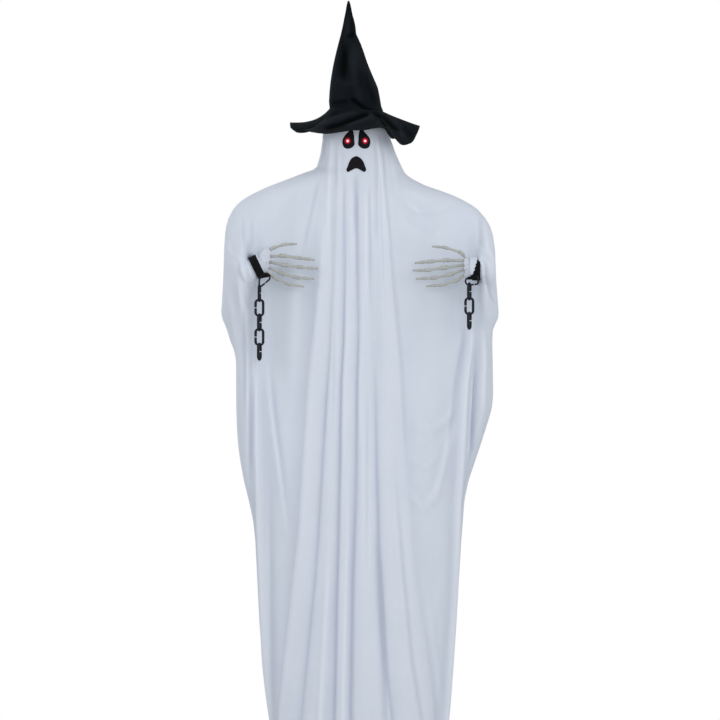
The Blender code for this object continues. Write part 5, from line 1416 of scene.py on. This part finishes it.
# Sleeve ends, ruffles and straps
cuffSettings = {
    "inner": 0.0219, "cloth": 0.0012, "turns": 144, "rows": 26, "wall": 0.0006,
    "front": {"left": 0.0112, "right": 0.0135}, "back": {"left": 0.036, "right": 0.020},
    # past the strap the cloth flares and waves; the cut piece is as long as a turn of this radius
    "freeOver": 0.006, "flare": 0.0012, "flareOver": 0.004, "wave": 0.0005, "cutRadius": 0.024,
    # the end rolls back in this many rows and then lies flat in the rest
    "rollRows": 9, "bendRows": 5, "rollOut": 0.0016, "tuck": 0.0008, "least": 0.002,
    "overStrap": 0.0275, "behind": 0.003, "edgeWave": (0.0009, 0.0006), "rollStep": 0.0015,
    # the sleeve end's fold shade is above 0.5, so painted shade darkens it all over
    "rollFrom": -0.021, "rollOver": 0.010, "rollFall": 0.06, "shade": 0.66,
    # heights on the front of the strap and how far along the wrist the folded edge comes there
    "foldBack": {"left": ((-0.014, 0.023), (0.0105, 0.0095)),
                 "right": ((-0.014, -0.008, 0.0015, 0.010, 0.023),
                           (0.0105, 0.0062, 0.0036, 0.001, -0.003))},
    "rollHigh": {"left": 0.0008, "right": 0.0040},
    "strapInner": 0.0242, "strapOuter": 0.0267, "strapHalf": 0.0095, "strapRim": 0.0006,
    "strapSteps": 96,
    # the webbing's tapered end: two corners and the depth at the band, then at the point
    "gusset": {"left": (((257.8, 278.9), (264.2, 272.4), -0.1660),
                        ((269.2, 277.0), (270.6, 275.2), -0.1685)),
               "right": (((477.6, 279.6), (475.8, 274.6), -0.1740),
                         ((467.4, 279.6), (468.2, 277.0), -0.1785))},
    "gussetRows": 9, "gussetColumns": 7, "gussetWall": 0.0016, "gussetBow": (0.0012, 0.0009),
    # the first link's loop: its place from the wrist, lean in degrees, radii, half width and rim
    "loopAt": {"left": (0.009, -0.013), "right": (-0.007, -0.022)},
    "loopTilt": {"left": 40, "right": 7}, "loopDrop": 0.003,
    "loopInner": 0.0025, "loopOuter": 0.0040, "loopHalf": 0.005, "loopRim": 0.0004,
    "loopSteps": 36,
}
# sheer ruffle: where it starts, where its lower and upper ends reach and how it widens there
ruffleSettings = {
    "turns": 200, "rows": 26, "radius": 0.0203, "wall": 0.0006, "cutRadius": 0.03,
    "from": 0.0104, "to": {"left": (0.0245, 0.0455), "right": (0.0275, 0.0290)},
    "wide": {"left": (0.90, 1.52), "right": (0.98, 1.36)},
    # how it flattens, bulges and narrows on its way, and the size of its waves
    "flat": 0.44, "flatRate": 1.3, "fullRate": 1.15, "bulge": 0.0020, "narrow": 0.0012,
    "wave": (0.0004, 0.0011), "band": 0.0006, "frill": 0.0013,
}


def axisFrame(side):
    # A wrist's centre, the way the arm runs and the way across it
    wrist = wristLift[side]
    axis = Vector((wrist["axis"][0], 0, wrist["axis"][1]))
    across = Vector((-axis.z, 0, axis.x))
    return Vector(wrist["centre"]), axis, across


def aroundAxis(side, along, radius, angle, flat=1.0):
    # Angle 0 is towards the viewer; a quarter turn is up
    centre, axis, across = axisFrame(side)
    upwards = across if across.z > 0 else -across
    ahead = Vector((0, -1, 0)) * (radius * flat * math.cos(angle))
    return centre + axis * along + ahead + upwards * (radius * math.sin(angle))


def makeSleeve(side):
    # A tube under the strap whose end rolls outwards; on the right it folds back over the strap
    c = cuffSettings
    tube, front = c["inner"] + c["cloth"], c["front"][side]
    turns = np.linspace(0, 2 * math.pi, c["turns"], endpoint=False)
    points, places = [], []
    for along in np.linspace(-c["back"][side], front, c["rows"]):
        free = float(eased((abs(along) - c["strapHalf"]) / c["freeOver"]))
        flare = c["flare"] * float(eased((along - c["strapHalf"]) / c["flareOver"]))
        for turn in turns:
            wave = math.sin(17 * turn + 1.0 + 30 * along) + 0.5 * math.sin(31 * turn)
            radius = tube + flare + c["wave"] * free * wave
            points.append(aroundAxis(side, float(along), radius, turn))
            places.append((turn * c["cutRadius"], float(along)))
    heights, ends = c["foldBack"][side]
    firstWave, secondWave = c["edgeWave"]
    for step in range(1, c["rollRows"] + 1):
        for turn in turns:
            beside = c["overStrap"] * math.sin(turn)
            end = float(np.interp(beside, heights, ends))
            if math.cos(turn) < 0:
                gone = min(1, -2 * math.cos(turn))
                end = ends[-1] + (front - c["behind"] - ends[-1]) * gone
            end += firstWave * math.sin(19 * turn) + secondWave * math.sin(33 * turn + 1)
            high = float(eased((beside - c["rollFrom"]) / c["rollOver"])) * c["rollHigh"][side]
            if step < c["bendRows"]:
                bend = math.pi * step / c["bendRows"]
                along = front + c["rollOut"] * math.sin(bend)
                radius = tube + c["cloth"] + high * (1 - math.cos(bend)) / 2
            else:
                share = (step - c["bendRows"]) / (c["rollRows"] - c["bendRows"])
                start = front - c["tuck"]
                along = start + (min(end, front - c["least"]) - start) * share
                radius = tube + c["cloth"] + high * (1.0 - c["rollFall"] * share)
                radius += c["wave"] * math.sin(23 * turn) * (1 - share)
            points.append(aroundAxis(side, along, radius, turn))
            places.append((turn * c["cutRadius"], front + c["rollStep"] * step))
    faces = gridFaces(c["rows"] + c["rollRows"], c["turns"], closed=True)
    sleeve = pieceFrom(f"{side}SleeveEnd", points, faces, "robeCloth")
    giveMap(sleeve, places)
    # painted shade over the whole sleeve end, a little darker than even robe cloth
    givePaintedShade(sleeve, [c["shade"]] * len(points))
    outwards(sleeve, Vector(wristLift[side]["centre"]))
    addWall(sleeve, c["wall"], 0)
    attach(sleeve, "figure")
    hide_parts(f"{side}_sleeve")
    return sleeve


def outwards(obj, centre):
    # Turns a ring's faces away from the axis that it goes round
    mesh = obj.data
    if sum((p.center - centre).dot(p.normal) for p in mesh.polygons) < 0:
        mesh.flip_normals()


def makeRuffle(side):
    r = ruffleSettings
    turns = np.linspace(0, 2 * math.pi, r["turns"], endpoint=False)
    low, high = r["to"][side]
    narrow, wide = r["wide"][side]
    points, places = [], []
    for share in np.linspace(0, 1, r["rows"]):
        flat = 1 - r["flat"] * float(eased(share * r["flatRate"]))
        full = share * r["fullRate"]
        for turn in turns:
            up = math.sin(turn)
            end = low + (high - low) * float(eased((up + 1) / 2))
            along = r["from"] + (end - r["from"]) * share
            spread = 1 + (wide - 1) * max(up, 0) * float(eased(full))
            spread -= (1 - narrow) * max(-up, 0) * share
            wave = math.sin(13 * turn + 0.7) + 0.6 * math.sin(23 * turn + 2 * share)
            wave += 0.3 * math.sin(7 * turn)
            band = r["band"] * math.sin(7 * math.pi * share + 0.6 * math.sin(3 * turn))
            dome = r["radius"] + r["bulge"] * math.sin(math.pi * min(1, full))
            dome -= r["narrow"] * share**2
            wave *= r["wave"][0] + r["wave"][1] * share
            radius = dome * spread + (wave + band) * share
            frill = r["frill"] * share * math.sin(9 * turn + 1.5)
            points.append(aroundAxis(side, along + frill, radius, turn, flat))
            places.append((turn * r["cutRadius"], along))
    faces = gridFaces(r["rows"], r["turns"], closed=True)
    ruffle = pieceFrom(f"{side}Ruffle", points, faces, "ruffleCloth")
    outwards(ruffle, Vector(wristLift[side]["centre"]))
    giveMap(ruffle, places)
    addWall(ruffle, r["wall"])
    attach(ruffle, handBodies[side])
    return ruffle


def makeBand(name, centre, axis, inner, outer, half, steps, rim):
    # Ring of webbing with rounded edges
    axis = axis.normalized()
    first = Vector((0, 1, 0)).cross(axis).normalized()
    second = axis.cross(first)
    profile = []
    for cx, cy, start in ((half - rim, outer - rim, 0), (-half + rim, outer - rim, 90),
                          (-half + rim, inner + rim, 180), (half - rim, inner + rim, 270)):
        for turn in (0, 30, 60, 90):
            a = math.radians(start + turn)
            profile.append((cx + rim * math.cos(a), cy + rim * math.sin(a)))
    points = []
    for step in range(steps):
        a = 2 * math.pi * step / steps
        out = first * math.cos(a) + second * math.sin(a)
        points += [centre + axis * along + out * radius for along, radius in profile]
    count = len(profile)
    faces = []
    for step in range(steps):
        near, far = step * count, (step + 1) % steps * count
        faces += [(near + i, near + (i + 1) % count, far + (i + 1) % count, far + i)
                  for i in range(count)]
    band = pieceFrom(name, points, faces, "strapWebbing")
    mendNormals(band)
    places = []
    for step in range(steps):
        around = 2 * math.pi * step / steps * outer
        places += [(around, along + radius) for along, radius in profile]
    giveMap(band, places)
    return band


def loopFrame(side):
    # Centre of the strap's small loop and the way its hole runs
    c = cuffSettings
    shift, ahead = c["loopAt"][side]
    radius = c["strapOuter"] + c["loopDrop"]
    drop = math.sqrt(radius**2 - shift**2 - ahead**2)
    centre = Vector(wristLift[side]["centre"]) + Vector((shift, ahead, -drop))
    tilt = math.radians(c["loopTilt"][side])
    return centre, Vector((math.cos(tilt), 0, math.sin(tilt)))


def makeGusset(side):
    # Tapered end of the webbing, sewn to the band and turned round the first link
    c = cuffSettings
    points = []
    wideEnd, point = ([np.array(part) for part in end] for end in c["gusset"][side])
    alongBow, acrossBow = c["gussetBow"]
    for share in np.linspace(0, 1, c["gussetRows"]):
        low, high, depth = (a * (1 - share) + b * share for a, b in zip(wideEnd, point))
        depth = depth - alongBow * math.sin(math.pi * share)
        for across in np.linspace(0, 1, c["gussetColumns"]):
            place = low * (1 - across) + high * across
            points.append(worldPlace(*place, depth - acrossBow * math.sin(math.pi * across)))
    faces = gridFaces(c["gussetRows"], c["gussetColumns"])
    gusset = pieceFrom(f"{side}StrapEnd", points, faces, "strapWebbing")
    giveMap(gusset, [(point[0], point[2]) for point in points])
    if sum(face.normal.y for face in gusset.data.polygons) > 0:
        gusset.data.flip_normals()
    return addWall(gusset, c["gussetWall"])


def makeStrap(side):
    c = cuffSettings
    centre, axis, _ = axisFrame(side)
    band = makeBand(f"{side}StrapBand", centre, axis, c["strapInner"], c["strapOuter"],
                    c["strapHalf"], c["strapSteps"], c["strapRim"])
    loop = makeBand(f"{side}StrapLoop", *loopFrame(side), c["loopInner"], c["loopOuter"],
                    c["loopHalf"], c["loopSteps"], c["loopRim"])
    strap = joined(f"{side}Strap", [band, loop, makeGusset(side)])
    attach(strap, "figure")
    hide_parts(f"{side}_strap")
    return strap


sleeves = {side: makeSleeve(side) for side in bothSides}
ruffles = {side: makeRuffle(side) for side in bothSides}
straps = {side: makeStrap(side) for side in bothSides}
print("sleeves are strapped")

# The chains
chainSettings = {
    "length": 0.043, "width": 0.022, "wire": 0.0042, "slit": 0.0016, "gap": 0.0003,
    "count": {"left": 6, "right": 4},
    # the wire's thickness on the link's sides and at its cut ends, in shares of that at its bows
    "belly": 1.48, "cutEnd": 1.25, "bowSteps": 14, "bowPower": 1.5,
    # how far the wire takes to thicken from its cut end, and the middle points of its far side
    "cutRun": 0.003, "farSide": (0.0055, 0, -0.0055),
    # the first link is pressed flat by the cloth beyond this place across the grid, by this
    # share of what is past it, and stands forwards
    "pressed": {"left": 259.0, "right": 478.4}, "pressedBy": 0.85,
    "ahead": {"left": 0.0028, "right": 0},
    # degrees by which a link is half turned, by its number
    "turned": {"left": {2: 8, 4: 17, 6: 18}, "right": {2: 16, 4: 18}},
}


def linkSizes():
    # Radius of a link's bow and half the straight between its bows, along the wire's middle
    s = chainSettings
    arc = (s["width"] - s["wire"]) / 2
    return arc, s["length"] / 2 - s["wire"] / 2 - arc


def linkPath(centre, long, short):
    # Round a link from one side of its slit to the other, and the wire's share of its thickness
    s = chainSettings
    belly, steps, cut = s["belly"], s["bowSteps"], s["slit"] / 2
    arc, straight = linkSizes()
    path = [(cut, arc, s["cutEnd"]), (cut + s["cutRun"], arc, belly)]
    for height, start in ((straight, 0), (-straight, math.pi)):
        for step in range(steps + 1):
            angle = start + math.pi * step / steps
            size = 1 + (belly - 1) * abs(math.cos(angle)) ** s["bowPower"]
            path.append((height + arc * math.sin(angle), arc * math.cos(angle), size))
        if not start:
            path += [(run, -arc, belly) for run in s["farSide"]]
    path += [(-cut - s["cutRun"], arc, belly), (-cut, arc, s["cutEnd"])]
    return [centre + long * a + short * b for a, b, _ in path], [size for _, _, size in path]


def makeChain(side):
    s = chainSettings
    start, axis = loopFrame(side)
    across = Vector((axis.z, 0, -axis.x))
    arc, straight = linkSizes()
    path, _ = linkPath(start + across * arc, axis, across)
    limit = worldPlace(s["pressed"][side], 0, start.y)[0]
    way = -1 if side == "left" else 1
    for point in path:
        over = max((point.x - limit) * way + s["wire"] / 2, 0)
        point.x -= way * over * s["pressedBy"]
        point.y -= s["ahead"][side]
    links = [roundWire(f"{side}Link1", path, s["wire"] / 2, "chainPlastic")]
    hang = start + across * arc - axis * straight + Vector((0, 0, -arc + s["wire"] + s["gap"]))
    for number in range(2, s["count"][side] + 1):
        turned = math.radians(s["turned"][side].get(number, 0))
        short = Vector((-1, 0, 0))
        if number % 2 == 0:
            short = Vector((math.sin(turned), math.cos(turned), 0))
        middle = hang - Vector((0, 0, (s["length"] - s["wire"]) / 2))
        path, sizes = linkPath(middle, Vector((0, 0, 1)), short)
        name = f"{side}Link{number}"
        links.append(roundWire(name, path, s["wire"] / 2, "chainPlastic", sizes))
        hang = hang - Vector((0, 0, s["length"] - 2 * s["wire"] - s["gap"]))
    for number, link in enumerate(links, 1):
        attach(link, "figure" if number == 1 else f"{side}_link_{number}")
        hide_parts(f"{side}_link_{number}")


for side in bothSides:
    makeChain(side)
print("chains hang")

# Finishes of the stand and fittings, whose solids are kept as they are
nodeLooks = {
    "standPlastic": ("base_hub", "shoulder_tee", "left_shoulder_connector",
                     "right_shoulder_connector", "neck_plug", "left_led_holder",
                     "right_led_holder"),
    "blackSteel": ("base_leg", "lower_pole", "middle_pole", "upper_pole", "shoulder_bar",
                   "left_arm_rod", "right_arm_rod", "neck_tube"),
    "footRubber": ("foot_cap",),
    "padFoam": ("left_shoulder_pad", "right_shoulder_pad"),
    "headPlastic": ("head_shell",),
    "redLens": ("left_led", "right_led"),
    "wireJacket": ("left_eye_wire", "right_eye_wire"),
    "casePlastic": ("battery_case", "battery_door"),
    "cellJacket": ("battery",),
    "contactPlate": ("lower_contact", "upper_contact"),
    "knobPlastic": ("switch_knob",),
}
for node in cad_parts:
    kind = node.rstrip("_0123456789")  # the four legs, their caps and the two cells are numbered
    for look, kinds in nodeLooks.items():
        if kind in kinds:
            for slot in bpy.data.objects[node].material_slots:
                slot.material = looks[look]
print("stand and fittings are finished")
